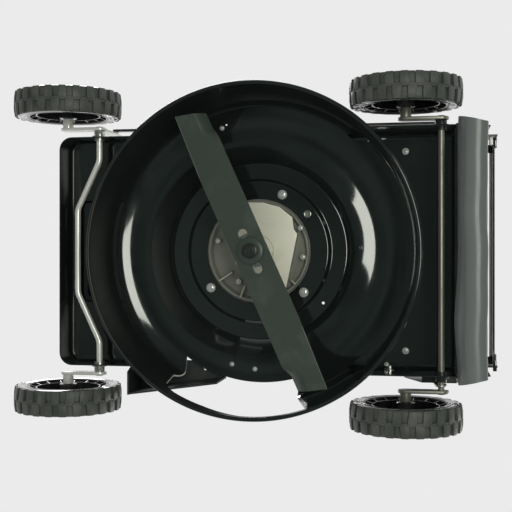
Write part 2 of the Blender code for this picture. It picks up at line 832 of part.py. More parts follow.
def blade_form():
    """A bar with ground leading edges, lifted trailing wings and ends cut back toward the heel."""
    half = blade_length / 2
    wide = blade_width / 2
    form = box((-half, half), (-wide, wide), (blade_height, blade_height + blade_thickness))
    wing_start = half - wing_length
    wing_full = wing_start + wing_ramp
    edge_start = half - edge_length
    form = sliced(form, "X", (-edge_start, -wing_start, -wing_full, wing_full, wing_start, edge_start))
    form = sliced(form, "Y", (-wing_crease, wing_crease))
    for vertex in form.data.vertices:
        x, y, z = vertex.co
        along = abs(x)
        across = math.copysign(1, x) * y
        heel = blade_heel_trim * (across + wide) / blade_width if along > half - 0.001 else 0.0
        if across > wide - 0.001:
            reach = min(1.0, max(0.0, (along - wing_start) / wing_ramp))
            z += wing_lift * reach
            y -= math.copysign(wing_tuck * reach, y)
        elif across < 0.001 - wide:
            y -= math.copysign(blade_tip_taper * max(0.0, (along - edge_start) / edge_length), y)
            if along > edge_start - 0.001 and z > blade_height + 0.001:
                y -= math.copysign(edge_grind, y)
        vertex.co = (x - math.copysign(heel, x), y, z)
    turn = Matrix.Rotation(math.radians(blade_angle), 4, "Z")
    form.data.transform(turn)
    low, high = blade_height - 0.02, blade_height + 0.03
    form = cut(form, rod((0, 0, low), (0, 0, high), bolt_radius + bore_gap, 12))
    for side in (-1, 1):
        place = turn @ Vector((side * blade_hole_offset, 0, 0))
        form = cut(form, rod((place.x, place.y, low), (place.x, place.y, high), blade_hole_radius, 16))
    return form


def add_cutter():
    """Everything that turns with the crankshaft."""
    joint("cutter_spin", 0, 0, blade_height, "mower")
    piece("blade", blade_form(), blade_steel, "cutter_spin")
    under = blade_height - seat_gap
    bore = bolt_radius + bore_gap
    rim = washer_radius - 0.002
    washer = [(bore, under), (washer_radius, under), (washer_radius, under - 0.001),
              (rim, under - washer_thickness), (bore, under - washer_thickness)]
    piece("blade_washer", turned(washer, 18, ring=True), satin_black, "cutter_spin")
    head_top = under - washer_thickness - seat_gap
    head = rod((0, 0, head_top - bolt_head_height), (0, 0, head_top), bolt_head_radius, 6)
    shank = rod((0, 0, head_top - 0.001), (0, 0, bolt_end), bolt_radius, 12)
    piece("blade_bolt", fused(head, shank), satin_black, "cutter_spin")
    low = blade_height + blade_thickness + seat_gap
    shaft_bore = shaft_radius + bore_gap
    shoulder = low + adapter_flange
    floor = low + adapter_floor
    hub = [(shaft_bore, adapter_top), (adapter_radius, adapter_top), (adapter_radius, shoulder),
           (adapter_flange_radius, shoulder), (adapter_flange_radius, low), (bore, low), (bore, floor),
           (shaft_bore, floor)]
    piece("blade_adapter", turned(hub, 16, ring=True), cast_alloy, "cutter_spin")
    foot = floor + seat_gap
    bore_end = bolt_end + 0.001
    shaft = [(0, shaft_top), (shaft_tip_radius, shaft_top), (shaft_tip_radius, shaft_shoulder),
             (shaft_radius, shaft_shoulder), (shaft_radius, foot), (bore, foot), (bore, bore_end),
             (0, bore_end)]
    piece("crankshaft", turned(shaft, 16), blade_steel, "cutter_spin")
    foot = shaft_shoulder + seat_gap
    hub_bore = shaft_tip_radius + bore_gap
    wheel = [(hub_bore, 0.252), (0.030, 0.252), (0.030, 0.244), (flywheel_radius - 0.010, 0.240),
             (flywheel_radius, 0.244), (flywheel_radius, foot), (hub_bore, foot)]
    flywheel = turned(wheel, 18, ring=True)
    half = fin_thickness / 2
    for index in range(6):
        fin = box((0.045, flywheel_radius - 0.006), (-half, half), (0.236, 0.258))
        fin.data.transform(Matrix.Rotation(math.tau * (index + 0.5) / 6, 4, "Z"))
        flywheel = fused(flywheel, fin)
    piece("flywheel", flywheel, cast_alloy, "cutter_spin")


def sump_form():
    """The engine's base: a flange on the deck and a foot through its hole with a raised plate."""
    bore = shaft_radius + bore_gap
    ledge = engine_hole_radius - 0.0015
    seat = plate_height + sheet + seat_gap
    profile = [(0, sump_top), (0.098, sump_top), (flange_radius, flange_top), (flange_radius, seat),
               (ledge, seat), (ledge - 0.001, sump_rim), (ledge - 0.004, sump_rim),
               (ledge - 0.008, sump_floor), (0.030, sump_floor), (0.027, 0.104), (0, 0.104)]
    form = turned(profile, 24)
    over_shelf = shelf_height + sheet + 0.001
    ear = rod((0.083, 0.083, over_shelf), (0.083, 0.083, sump_top), 0.015, 12)
    raised = plate(sump_plate, sump_face, sump_floor + 0.001)
    form = fused(form, ear, raised)
    for x, y in sump_screws:
        form = fused(form, rod((x, y, sump_face + 0.004), (x, y, sump_floor + 0.001), sump_screw_radius, 6))
    for start, end in sump_ribs:
        form = fused(form, plate(slot_outline(start, end, 0.0014, 1), sump_face + 0.007, sump_floor + 0.001))
    form = cut(form, rod((0, 0, 0.09), (0, 0, 0.16), bore, 16))
    for angle in bolt_angles:
        form = cut(form, bolt_hole(angle, 0.12, 0.1455))
    return form


def block_form():
    """The crankcase under its blower back plate, with a finned cylinder lying toward the front."""
    half = crankcase_half
    low = sump_top + seat_gap
    form = box((-half, half), (-half, half), (low, crankcase_top))
    rounded(form, 0.014, 2, lambda at, way: abs(way.z) > 0.9)
    barrel = box((cylinder_end, -half + 0.002), (-cylinder_half_width + 0.008, cylinder_half_width - 0.008),
                 (0.160, 0.214))
    form = fused(form, barrel)
    for index in range(6):
        x = cylinder_end + 0.004 + index * 0.0098
        reach = cylinder_half_width + fin_reach
        fin = box((x - fin_half, x + fin_half), (-reach, reach), (0.154, 0.2205))
        form = fused(form, fin)
    back_plate = rod((0, 0, crankcase_top - 0.003), (0, 0, crankcase_top), shroud_radius - 0.0005, 28)
    form = fused(form, back_plate)
    return cut(form, rod((0, 0, 0.1), (0, 0, 0.3), shaft_radius + bore_gap, 16))


def head_form():
    front = cylinder_end - seat_gap
    half = cylinder_half_width - 0.004
    form = box((head_end, front), (-half, half), (0.157, 0.2165))
    for index in range(2):
        x = front - 0.008 - index * 0.009
        reach = cylinder_half_width + fin_reach - 0.001
        fin = box((x - fin_half, x + fin_half), (-reach, reach), (0.153, 0.2205))
        form = fused(form, fin)
    return form


def shroud_form():
    """The blower housing over the flywheel, with a snout that guides air over the cylinder."""
    low = crankcase_top + seat_gap
    def shell(grow, top, foot):
        drum = rod((0, 0, foot), (0, 0, top), shroud_radius + grow, 28)
        half = 0.066 + grow
        snout = box((head_end + 0.002 - grow, 0.0), (-half, half), (foot, top - 0.010))
        rounded(snout, 0.016, 2, lambda at, way: at.x < -0.1 and abs(way.z) > 0.9)
        return fused(drum, snout)
    outer = shell(0, shroud_top, low)
    rounded(outer, 0.008, 2, lambda at, way: at.z > shroud_top - 0.012 and abs(way.z) < 0.1)
    inner = shell(-shroud_wall, shroud_top - shroud_wall, low - 0.01)
    mouth = rod((0, 0, 0.2), (0, 0, 0.4), 0.060, 24)
    return cut(outer, inner, mouth)


def recoil_form():
    """The starter's cover: a ring of cooling slots under a dome."""
    foot = shroud_top + seat_gap
    wall = 0.0025
    outer = [(0, recoil_top), (0.040, recoil_top), (0.066, recoil_top - 0.008), (0.076, recoil_top - 0.022),
             (recoil_radius, foot + 0.004), (recoil_radius, foot)]
    inner = [(recoil_radius - wall, foot), (recoil_radius - wall, foot + 0.004),
             (0.076 - wall, recoil_top - 0.022 - wall / 2), (0.066 - wall / 2, recoil_top - 0.008 - wall),
             (0.040, recoil_top - wall), (0, recoil_top - wall)]
    form = turned(outer + inner, 18)
    for index in range(recoil_slots):
        slot = box((0.050, 0.072), (-0.005, 0.005), (foot, recoil_top + 0.01))
        slot.data.transform(Matrix.Rotation(math.tau * (index + 0.5) / recoil_slots, 4, "Z"))
        form = cut(form, slot)
    pull = Vector(pull_way)
    start = grip_place() - pull * 0.024
    guide = rod(start, grip_place() - pull * seat_gap, 0.010, 12)
    return cut(fused(form, guide), rod(start - pull * 0.02, grip_place() + pull * 0.02, rope_hole, 8))


def grip_place():
    return Vector((grip_start[0], 0.0, recoil_top + grip_start[1]))


def starter_grip_form():
    pull = Vector(pull_way)
    base = grip_place()
    neck = rod(base, base + pull * 0.010, 0.008, 10)
    places = (-0.042, -0.038, -0.012, 0.012, 0.038, 0.042)
    bar = tube([base + pull * 0.014 + Vector((0, y, 0)) for y in places], 0.0085, 10)
    return fused(neck, bar)


def tank_form():
    low = shroud_radius + tank_gap
    form = box((low, low + tank_depth), (-tank_half_width, tank_half_width + 0.010), (0.206, 0.286))
    rounded(form, 0.014, 3, lambda at, way: abs(way.z) > 0.9)
    rounded(form, 0.010, 2, lambda at, way: abs(way.z) < 0.5)
    x, y, top = cap_place
    neck = rod((low + x, y, 0.284), (low + x, y, top - seat_gap), 0.019, 20)
    return fused(form, neck)


def cap_form(x, y, low, height, radius, ribs):
    """A turned cap with gripping ribs round its side."""
    form = turned([(0, height), (radius - 0.003, height), (radius, height - 0.003), (radius, 0), (0, 0)], 16)
    for index in range(ribs):
        a = math.tau * index / ribs
        rib = rod((radius * math.cos(a), radius * math.sin(a), 0.001),
                  (radius * math.cos(a), radius * math.sin(a), height - 0.004), 0.0018, 5)
        form = fused(form, rib)
    form.data.transform(Matrix.Translation((x, y, low)))
    return form


def muffler_form():
    form = box((-0.146, -0.078), (0.0505, 0.100), (0.166, 0.218))
    rounded(form, 0.010, 3, lambda at, way: abs(way.x) > 0.9)
    outlet = rod((-0.130, 0.085, 0.180), (-0.150, 0.112, 0.172), 0.007, 10)
    return fused(form, outlet)


def air_box_form():
    form = box((-0.128, -0.040), (air_box_face, air_box_back), (0.168, 0.236))
    rounded(form, 0.010, 3, lambda at, way: abs(way.y) > 0.9)
    rounded(form, 0.004, 1, lambda at, way: at.y < air_box_face + 0.001)
    x, z = primer_place
    pocket = rod((x, air_box_face - 0.012, z), (x, air_box_face + 0.010, z), primer_radius + 0.0005, 12)
    return cut(form, pocket)


def carburettor_form():
    gap = cylinder_half_width + fin_reach + seat_gap
    x, z = throat_place
    throat = rod((x, -gap, z), (x, air_box_back + seat_gap, z), 0.014, 14)
    bowl = rod((x, -bowl_side, z - 0.030), (x, -bowl_side, z - 0.006), 0.016, 14)
    return fused(throat, bowl)


def spark_plug_form():
    y = 0.001 - cylinder_half_width - fin_reach - seat_gap
    profile = [(0, 0.046), (0.003, 0.046), (0.003, 0.040), (0.006, 0.038), (0.006, 0.018), (0.011, 0.018),
               (0.011, 0.008), (0.008, 0.008), (0.008, 0), (0, 0)]
    form = turned(profile, 12, axis="Y")
    place = (plug_place[0], y, plug_place[1])
    form.data.transform(Matrix.Translation(place) @ Matrix.Rotation(math.pi, 4, "X"))
    return form


def add_engine():
    piece("engine_sump", sump_form(), cast_alloy)
    piece("engine_block", block_form(), cast_alloy)
    piece("cylinder_head", head_form(), cast_alloy)
    cover = box((cover_end, head_end - seat_gap), (-0.036, 0.036), (0.160, 0.214))
    rounded(cover, 0.010, 3, lambda at, way: abs(way.x) > 0.9)
    rounded(cover, 0.004, 1, lambda at, way: at.x < cover_end + 0.001)
    piece("rocker_cover", cover, satin_black)
    piece("blower_shroud", shroud_form(), cover_plastic)
    piece("recoil_cover", recoil_form(), cover_plastic)
    piece("fuel_tank", tank_form(), cover_plastic)
    piece("muffler", muffler_form(), hot_steel)
    piece("air_filter_box", air_box_form(), cover_plastic)
    piece("carburettor", carburettor_form(), cast_alloy)
    piece("spark_plug", spark_plug_form(), ceramic)
    for number, angle in enumerate(bolt_angles, 1):
        x = bolt_circle_radius * math.cos(math.radians(angle))
        y = bolt_circle_radius * math.sin(math.radians(angle))
        top = plate_height - seat_gap
        head = rod((x, y, top - 0.006), (x, y, top), bolt_head_half, 6)
        flange = rod((x, y, top - 0.0015), (x, y, top), bolt_flange_radius, 10)
        shank = rod((x, y, top - 0.001), (x, y, 0.1445), engine_bolt_radius, 8)
        piece(f"engine_bolt_{number}", fused(head, flange, shank), zinc)
    x, y = filler_place
    low = sump_top + seat_gap
    wide = filler_radius + 0.0035
    wall = [(filler_bore, filler_height), (filler_radius, filler_height), (filler_radius, 0.004),
            (wide, 0.004), (wide, 0), (filler_bore, 0)]
    piece("oil_filler_tube", turned(wall, 14, ring=True, centre=(x, y, low)), satin_black)
    stick_top = low + filler_height + seat_gap
    joint("dipstick_slide", x, y, stick_top, "mower")
    knob = cap_form(x, y, stick_top, 0.016, 0.013, 2)
    stick = rod((x, y, stick_top - stick_length), (x, y, stick_top + 0.001), stick_radius, 8)
    piece("oil_dipstick", fused(knob, stick), cover_plastic, "dipstick_slide")
    x, y, z = cap_place
    x += shroud_radius + tank_gap
    joint("fuel_cap_turn", x, y, z, "mower")
    piece("fuel_cap", cap_form(x, y, z, 0.015, 0.022, 6), cover_plastic, "fuel_cap_turn")
    base = grip_place()
    joint("starter_pull", base.x, base.y, base.z, "mower")
    piece("starter_grip", starter_grip_form(), cover_plastic, "starter_pull")
    place = (primer_place[0], air_box_face, primer_place[1])
    joint("primer_press", *place, "mower")
    bulb = turned([(0, 0.008), (0.005, 0.0068), (0.0088, 0.003), (0.011, 0), (primer_radius, -0.003),
                   (0, -0.003)], 14, axis="Y")
    bulb.data.transform(Matrix.Translation(place) @ Matrix.Rotation(math.pi, 4, "X"))
    piece("primer_bulb", bulb, flap_rubber, "primer_press")


def add_side_flap():
    """The plastic discharge hood beside the deck, hung from a rod in a bracket on the roof."""
    y, z = side_flap_axis
    joint("side_flap_hinge", side_flap_rear, y, z, "mower")
    base_low = roof_height + sheet + seat_gap
    front, rear = bracket_span
    bracket = box(bracket_span, (bracket_inner, y + 0.003), (base_low, base_low + sheet))
    for x in (front + 0.001, rear - 0.003):
        ear = plate(slot_outline((y, base_low + 0.001), (y, z), 0.006, 4), x, x + sheet, "X")
        bracket = fused(bracket, cut(ear, box((-0.2, 0.1), (0.1, 0.3), (0.1, base_low))))
    rod_form = rod((front, y, z), (rear, y, z), flap_rod_radius, 10)
    piece("side_flap_bracket", fused(bracket, rod_form), satin_black)

    low, high = side_flap_roof
    front_y, rear_y = side_flap_edge
    nose, middle, tail = side_flap_inner
    outline = [(side_flap_front, nose), (front - 0.002, nose), (front - 0.002, middle),
               (rear - 0.006, middle), (rear - 0.006, tail), (side_flap_rear, tail), (side_flap_rear, rear_y),
               (side_flap_front, front_y)]
    hood = plate(outline, low, high)
    skin = [(side_flap_front, front_y), (side_flap_front, front_y - flap_wall),
            (side_flap_rear, rear_y - flap_wall), (side_flap_rear, rear_y)]
    wall = plate(skin, side_flap_foot, high)
    cheek = plate([(middle, high), (middle, side_flap_foot + 0.02), (0.200, side_flap_foot),
                   (front_y, side_flap_foot), (front_y, high)],
                  side_flap_front, side_flap_front + flap_wall, "X")
    knuckle = rod((front + 0.0035, y, z), (rear - 0.0035, y, z), side_flap_knuckle, 12)
    hood = fused(hood, wall, cheek, knuckle)
    hood = cut(hood, rod((-0.12, y, z), (0.01, y, z), flap_rod_radius + bore_gap, 10))
    hood = cut(hood, box((front - 0.0005, front + 0.0035), (0.18, y + 0.0075), (0.15, 0.18)))
    piece("side_flap", hood, hood_plastic, "side_flap_hinge")


def add_rear_flaps():
    """The rubber trailing flap under the tail, and the door over the tunnel's end."""
    x, z = tail_flap_axis
    joint("tail_flap_hinge", x, 0, z, "mower")
    half = tunnel_half_width + 0.0025
    piece("tail_flap_rod", rod((x, -half, z), (x, half, z), flap_rod_radius, 10), zinc)
    inner_half = tunnel_half_width - 0.005
    knuckle = rod((x, -inner_half, z), (x, inner_half, z), tail_flap_roll, 12)
    line = [(x + 0.001, z - 0.003), (x + 0.0022, z - 0.0165), (x + 0.010, z - 0.0215), (x + 0.022, z - 0.029),
            (x + 0.032, z - 0.039), (x + 0.043, z - 0.051)]
    side = offset_line(line, tail_flap_wall)
    inner = plate(line[:3] + side[:3][::-1], -inner_half, inner_half, "Y")
    outer = plate(line[1:] + side[1:][::-1], -tail_flap_half_width, tail_flap_half_width, "Y")
    for vertex in outer.data.vertices:
        reach = (vertex.co.x - line[1][0]) / (line[-1][0] - line[1][0])
        vertex.co.y *= 1 - reach * (1 - tail_flap_foot_half_width / tail_flap_half_width)
    flap = fused(knuckle, inner, outer)
    piece("tail_flap", cut(flap, rod((x, -0.3, z), (x, 0.3, z), flap_rod_radius + bore_gap, 10)),
          flap_rubber, "tail_flap_hinge")

    x, z = door_axis
    joint("rear_door_hinge", x, 0, z, "mower")
    reach = handle_half_width + handle_tube + 0.005
    piece("door_rod", rod((x, -reach, z), (x, reach, z), flap_rod_radius, 10), zinc)
    face = x - door_offset
    panel = box((face, face + sheet), (door_left, door_right), (door_foot, z - 0.002))
    door = fused(panel, rod((x, door_left, z), (x, door_right, z), door_knuckle, 12))
    for low, high in ((door_left, door_left + door_tab), (door_right - door_tab, door_right)):
        door = fused(door, box((face, x + 0.0018), (low, high), (door_foot, door_foot + 0.003)))
    piece("rear_door", cut(door, rod((x, -0.3, z), (x, 0.3, z), flap_rod_radius + bore_gap, 10)),
          gloss_black, "rear_door_hinge")


def handle_bracket_form(side):
    """A folded bracket on the deck's tail, with the handle's stud and a hole for the door's rod."""
    base = roof_height + sheet + seat_gap
    inner = handle_half_width + handle_tube + bracket_gap
    outer = inner + bracket_sheet
    x, z = handle_pivot
    outline = [(bracket_front, base), (bracket_rear, base), (bracket_rear, bracket_top), (0.372, bracket_top)]
    outline += arc((x, z), 0.018, 60, 150, 5) + [(bracket_front, 0.186)]
    low, high = sorted((side * inner, side * outer))
    form = plate(outline, low, high, "Y")
    low, high = sorted((side * 0.150, side * outer))
    foot = box((bracket_front, 0.368), (low, high), (base, base + bracket_sheet))
    low, high = sorted((side * (inner - 0.016), side * outer))
    hook = box((bracket_rear - bracket_sheet, bracket_rear), (low, high), (0.180, bracket_top))
    form = fused(form, foot, hook)
    rod_x, rod_z = door_axis
    form = cut(form, rod((rod_x, -0.3, rod_z), (rod_x, 0.3, rod_z), flap_rod_radius + bore_gap, 10))
    tube_inside = handle_half_width - handle_tube - seat_gap
    stud = rod((x, side * stud_inner_end, z), (x, side * (outer + 0.001), z), stud_radius, 10)
    head = rod((x, side * (outer - 0.0005), z), (x, side * (outer + 0.005), z), stud_head_radius, 6)
    cap = rod((x, side * stud_inner_end, z), (x, side * tube_inside, z), stud_head_radius, 6)
    return fused(form, stud, head, cap)


def toward(angle):
    return Vector((math.cos(math.radians(angle)), 0, math.sin(math.radians(angle))))


def add_handle():
    x, z = handle_pivot
    pivot = Vector((x, 0, z))
    joint("handle_fold", x, 0, z, "mower")
    along = toward(lower_fold_angle)
    knee = pivot + along * lower_reach
    joint("upper_handle_fold", knee.x, 0, knee.z, "handle_fold")
    aside = Vector((0, handle_half_width, 0))
    far = pivot + along * lower_length
    near = pivot - along * 0.012
    path = bent_path([near - aside, far - aside, far + aside, near + aside], bend_radius, 4)
    lower = tube(path, handle_tube, 10)
    bore = stud_radius + bore_gap
    for place in (pivot, knee):
        lower = cut(lower, rod(place - aside * 1.3, place + aside * 1.3, bore, 10))
    piece("lower_handle", lower, handle_paint, "handle_fold")

    back = toward(upper_fold_angle)
    aside = Vector((0, upper_half_width, 0))
    bar = knee + back * upper_length
    near = knee - back * 0.014
    path = bent_path([near - aside, bar - aside, bar + aside, near + aside], bend_radius, 4)
    upper = tube(path, handle_tube, 10)
    upper = cut(upper, rod(knee - aside * 1.3, knee + aside * 1.3, bore, 10))
    piece("upper_handle", upper, handle_paint, "upper_handle_fold")
    inside = handle_tube + seat_gap
    grip = turned([(inside, grip_half), (grip_radius, grip_half), (grip_radius, -grip_half),
                   (inside, -grip_half)], 14, ring=True, axis="Y", centre=bar)
    piece("handle_grip", grip, foam, "upper_handle_fold")

    hinge = knee + back * bail_reach
    joint("bail_hinge", hinge.x, 0, hinge.z, "upper_handle_fold")
    raised = toward(upper_fold_angle + bail_angle)
    inside = upper_half_width - handle_tube - seat_gap
    end = Vector((0, inside, 0))
    arm = Vector((0, inside - 0.010, 0))
    tip = hinge + raised * bail_length
    path = bent_path([hinge - end, hinge - arm, tip - arm, tip + arm, hinge + arm, hinge + end], 0.007, 3)
    piece("bail_lever", tube(path, bail_tube, 8), zinc, "bail_hinge")

    for side_name, side in (("left", -1), ("right", 1)):
        piece(f"handle_bracket_{side_name}", handle_bracket_form(side), satin_black)
        spin = f"knob_{side_name}_turn"
        joint(spin, knee.x, 0, knee.z, "handle_fold")
        face = upper_half_width + handle_tube + seat_gap
        end = Vector((knee.x, side * (stud_inner_end - 0.002), knee.z))
        tube_inside = Vector((knee.x, side * (handle_half_width - handle_tube - seat_gap), knee.z))
        outside = Vector((knee.x, side * face, knee.z))
        out = Vector((0, side, 0))
        stud = rod(end, outside + out * 0.002, stud_radius, 10)
        back_head = rod(end, tube_inside, stud_head_radius, 10)
        knob = rod(outside, outside + out * knob_depth, knob_radius, 12)
        wing = box((knee.x - knob_wing, knee.x + knob_wing),
                   tuple(sorted((side * (face + 0.004), side * (face + knob_depth + 0.002)))),
                   (knee.z - 0.004, knee.z + 0.004))
        piece(f"handle_knob_{side_name}", fused(stud, back_head, knob, wing), cover_plastic, spin)


joint("mower", 0, 0, 0)
piece("deck", deck_form(), gloss_black)
piece("front_baffle", front_baffle_form(), gloss_black)
piece("rear_baffle", rear_baffle_form(), gloss_black)
add_axles()
add_wheels()
add_cutter()
add_engine()
add_side_flap()
add_rear_flaps()
add_handle()
bpy.data.collections.remove(workshop)
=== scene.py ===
# The lawn mower of the photograph, dressed for rendering: gloss deck, worn blade, moulded wheels.
import math

import bpy
import bmesh
from mathutils import Matrix, Vector


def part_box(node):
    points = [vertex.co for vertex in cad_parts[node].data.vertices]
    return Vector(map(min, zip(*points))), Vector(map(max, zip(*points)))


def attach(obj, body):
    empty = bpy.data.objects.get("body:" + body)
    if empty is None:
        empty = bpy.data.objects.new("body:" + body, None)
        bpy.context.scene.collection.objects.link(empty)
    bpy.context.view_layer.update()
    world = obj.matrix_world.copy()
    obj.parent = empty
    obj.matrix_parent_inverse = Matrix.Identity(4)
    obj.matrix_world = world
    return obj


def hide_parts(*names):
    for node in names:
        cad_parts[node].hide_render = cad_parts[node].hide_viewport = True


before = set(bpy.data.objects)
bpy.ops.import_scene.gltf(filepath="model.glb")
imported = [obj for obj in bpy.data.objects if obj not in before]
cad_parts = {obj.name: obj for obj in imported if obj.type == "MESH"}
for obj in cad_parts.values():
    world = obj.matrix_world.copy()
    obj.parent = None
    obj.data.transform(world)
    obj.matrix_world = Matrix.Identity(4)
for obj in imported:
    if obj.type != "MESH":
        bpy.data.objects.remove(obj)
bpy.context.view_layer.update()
crank = Vector((0.0095, -0.006, 0.0))  # the blade's shaft: the forms below are laid out from it
reliefHeight = 0.0004
coatRoughness = 0.05


def newObject(name, mesh):
    made = bpy.data.objects.new(name, mesh)
    bpy.context.scene.collection.objects.link(made)
    return made


def fromBmesh(bm, weld=True):
    if weld:
        bmesh.ops.remove_doubles(bm, verts=bm.verts, dist=1e-6)
        bmesh.ops.recalc_face_normals(bm, faces=bm.faces)
    mesh = bpy.data.meshes.new("form")
    bm.to_mesh(mesh)
    bm.free()
    return newObject("form", mesh)


def applied(obj):
    bpy.context.view_layer.update()
    view = obj.evaluated_get(bpy.context.evaluated_depsgraph_get())
    mesh = bpy.data.meshes.new_from_object(view)
    old = obj.data
    obj.modifiers.clear()
    obj.data = mesh
    bpy.data.meshes.remove(old)
    return obj


def combine(target, tools, operation):
    for tool in tools:
        step = target.modifiers.new("combine", "BOOLEAN")
        step.operation = operation
        step.solver = "EXACT"
        step.object = tool
        applied(target)
        bpy.data.objects.remove(tool)
    return target


def carve(target, *tools):
    return combine(target, tools, "DIFFERENCE")


def join(target, *tools):
    return combine(target, tools, "UNION")


def overlap(target, *tools):
    return combine(target, tools, "INTERSECT")


def block(x, y, z):
    bm = bmesh.new()
    bmesh.ops.create_cube(bm, size=1)
    bmesh.ops.scale(bm, vec=(x[1] - x[0], y[1] - y[0], z[1] - z[0]), verts=bm.verts)
    bmesh.ops.translate(bm, vec=((x[0] + x[1]) / 2, (y[0] + y[1]) / 2, (z[0] + z[1]) / 2), verts=bm.verts)
    return fromBmesh(bm)


def soften(obj, width, segments, angle=32, choose=None):
    # rounds the edges sharper than an angle, or those of them that are chosen by middle and direction
    bm = bmesh.new()
    bm.from_mesh(obj.data)
    limit = math.radians(angle)
    edges = [e for e in bm.edges if len(e.link_faces) == 2 and e.calc_face_angle(0) > limit]
    if choose:
        edges = [e for e in edges if choose((e.verts[0].co + e.verts[1].co) / 2,
                                            (e.verts[1].co - e.verts[0].co).normalized())]
    bmesh.ops.bevel(bm, geom=edges, offset=width, segments=segments, profile=0.5, affect="EDGES",
                    clamp_overlap=True)
    bm.to_mesh(obj.data)
    bm.free()
    return obj


def ringFaces(bm, one, two):
    # the faces between two rings of vertices, where a ring may be one point repeated
    for k in range(len(one)):
        n = (k + 1) % len(one)
        corners = list(dict.fromkeys((one[k], one[n], two[n], two[k])))
        if len(corners) > 2:
            bm.faces.new(corners)


def lathe(profile, steps, axis="Z", at=(0, 0, 0)):
    # the profile is a closed outline of (radius, height)
    bm = bmesh.new()
    rings = []
    for radius, height in profile:
        if radius < 1e-7:
            rings.append([bm.verts.new((0, 0, height))] * steps)
            continue
        places = [onCircle(radius, 360 * k / steps) for k in range(steps)]
        rings.append([bm.verts.new((*place, height)) for place in places])
    for i, ring in enumerate(rings):
        ringFaces(bm, ring, rings[(i + 1) % len(rings)])
    if axis == "Y":
        bmesh.ops.transform(bm, matrix=Matrix.Rotation(-math.pi / 2, 4, "X"), verts=bm.verts)
    bmesh.ops.translate(bm, vec=at, verts=bm.verts)
    return fromBmesh(bm)


def bar(start, end, radius, sides, bevel=0.0):
    start, end = Vector(start), Vector(end)
    length = (end - start).length
    profile = [(0, 0), (radius, 0), (radius, length), (0, length)]
    if bevel:
        profile = [(0, 0), (radius - bevel, 0), (radius - bevel * 0.3, bevel * 0.3), (radius, bevel),
                   (radius, length - bevel), (radius - bevel * 0.3, length - bevel * 0.3),
                   (radius - bevel, length), (0, length)]
    made = lathe(profile, sides)
    turn = (end - start).to_track_quat("Z", "Y").to_matrix().to_4x4()
    made.data.transform(Matrix.Translation(start) @ turn)
    return made


def tubeAlong(points, radius, sides=20):
    bm = bmesh.new()
    normal = None
    rings = []
    for i, point in enumerate(points):
        ahead = (points[min(i + 1, len(points) - 1)] - points[max(i - 1, 0)]).normalized()
        if normal is None:
            guide = Vector((0, 0, 1)) if abs(ahead.z) < 0.9 else Vector((1, 0, 0))
            normal = ahead.cross(guide).normalized()
        normal = (normal - ahead * normal.dot(ahead)).normalized()
        other = ahead.cross(normal)
        turns = [math.tau * k / sides for k in range(sides)]
        rings.append([bm.verts.new(point + (normal * math.cos(turn) + other * math.sin(turn)) * radius)
                      for turn in turns])
    for one, two in zip(rings, rings[1:]):
        ringFaces(bm, one, two)
    bm.faces.new(rings[0])
    bm.faces.new(rings[-1])
    return fromBmesh(bm)


def slab(outline, low, high, across="Z"):
    bm = bmesh.new()
    order = {"Z": (0, 1, 2), "Y": (0, 2, 1), "X": (2, 0, 1)}[across]
    under, over = [[bm.verts.new([(*point, level)[i] for i in order]) for point in outline]
                   for level in (low, high)]
    bm.faces.new(under)
    bm.faces.new(over[::-1])
    ringFaces(bm, under, over)
    return fromBmesh(bm)


def thickSheet(bm, low, high):
    # skins two grids of vertices and closes the gap round their edges
    rows, columns = len(low) - 1, len(low[0]) - 1
    for i in range(rows):
        for k in range(columns):
            for grid in (low, high):
                bm.faces.new((grid[i][k], grid[i][k + 1], grid[i + 1][k + 1], grid[i + 1][k]))
        for k in (0, columns):
            bm.faces.new((low[i][k], low[i + 1][k], high[i + 1][k], high[i][k]))
    for k in range(columns):
        for i in (0, rows):
            bm.faces.new((low[i][k], low[i][k + 1], high[i][k + 1], high[i][k]))
    return fromBmesh(bm)


def bendPoints(one, pull, two, steps):
    # a soft bend from one place to another, drawn toward a third
    parts = [k / steps for k in range(steps + 1)]
    return [one * (1 - t) ** 2 + pull * (2 * t * (1 - t)) + two * t * t for t in parts]


def rounded(line, radii, steps):
    # the line with its inner corners rounded, each by its own radius
    line = [Vector(point) for point in line]
    made = [line[0]]
    for i, radius in enumerate(radii, 1):
        here = line[i]
        back, ahead = line[i - 1] - here, line[i + 1] - here
        reach = min(radius / math.tan(back.angle(ahead) / 2), back.length * 0.49, ahead.length * 0.49)
        made += bendPoints(here + back.normalized() * reach, here, here + ahead.normalized() * reach, steps)
    return made + [line[-1]]


def beside(line, distance):
    line = [Vector(point) for point in line]
    moved = []
    for i, point in enumerate(line):
        near = line[max(i - 1, 0):i + 2]
        ways = [(two - one).normalized() for one, two in zip(near, near[1:])]
        lefts = [Vector((-way.y, way.x)) for way in ways]
        middle = sum(lefts, Vector((0, 0))).normalized()
        moved.append(point + middle * distance / middle.dot(lefts[0]))
    return moved


def onCircle(radius, angle):
    return radius * math.cos(math.radians(angle)), radius * math.sin(math.radians(angle))


def circlePoints(centre, radius, start, end, steps):
    places = [onCircle(radius, start + (end - start) * k / steps) for k in range(steps + 1)]
    return [(centre[0] + a, centre[1] + b) for a, b in places]


def linkOutline(one, other, radius, steps=14):
    # round one point, round the other, and straight between them
    along = (Vector(other) - Vector(one)).normalized()
    start = math.degrees(math.atan2(along.y, along.x))
    return circlePoints(other, radius, start - 90, start + 90, steps) + \
        circlePoints(one, radius, start + 90, start + 270, steps)


def gathered(forms, weld=True):
    # several closed forms in one object
    bm = bmesh.new()
    for form in forms:
        bm.from_mesh(form.data)
        bpy.data.objects.remove(form)
    return fromBmesh(bm, weld)


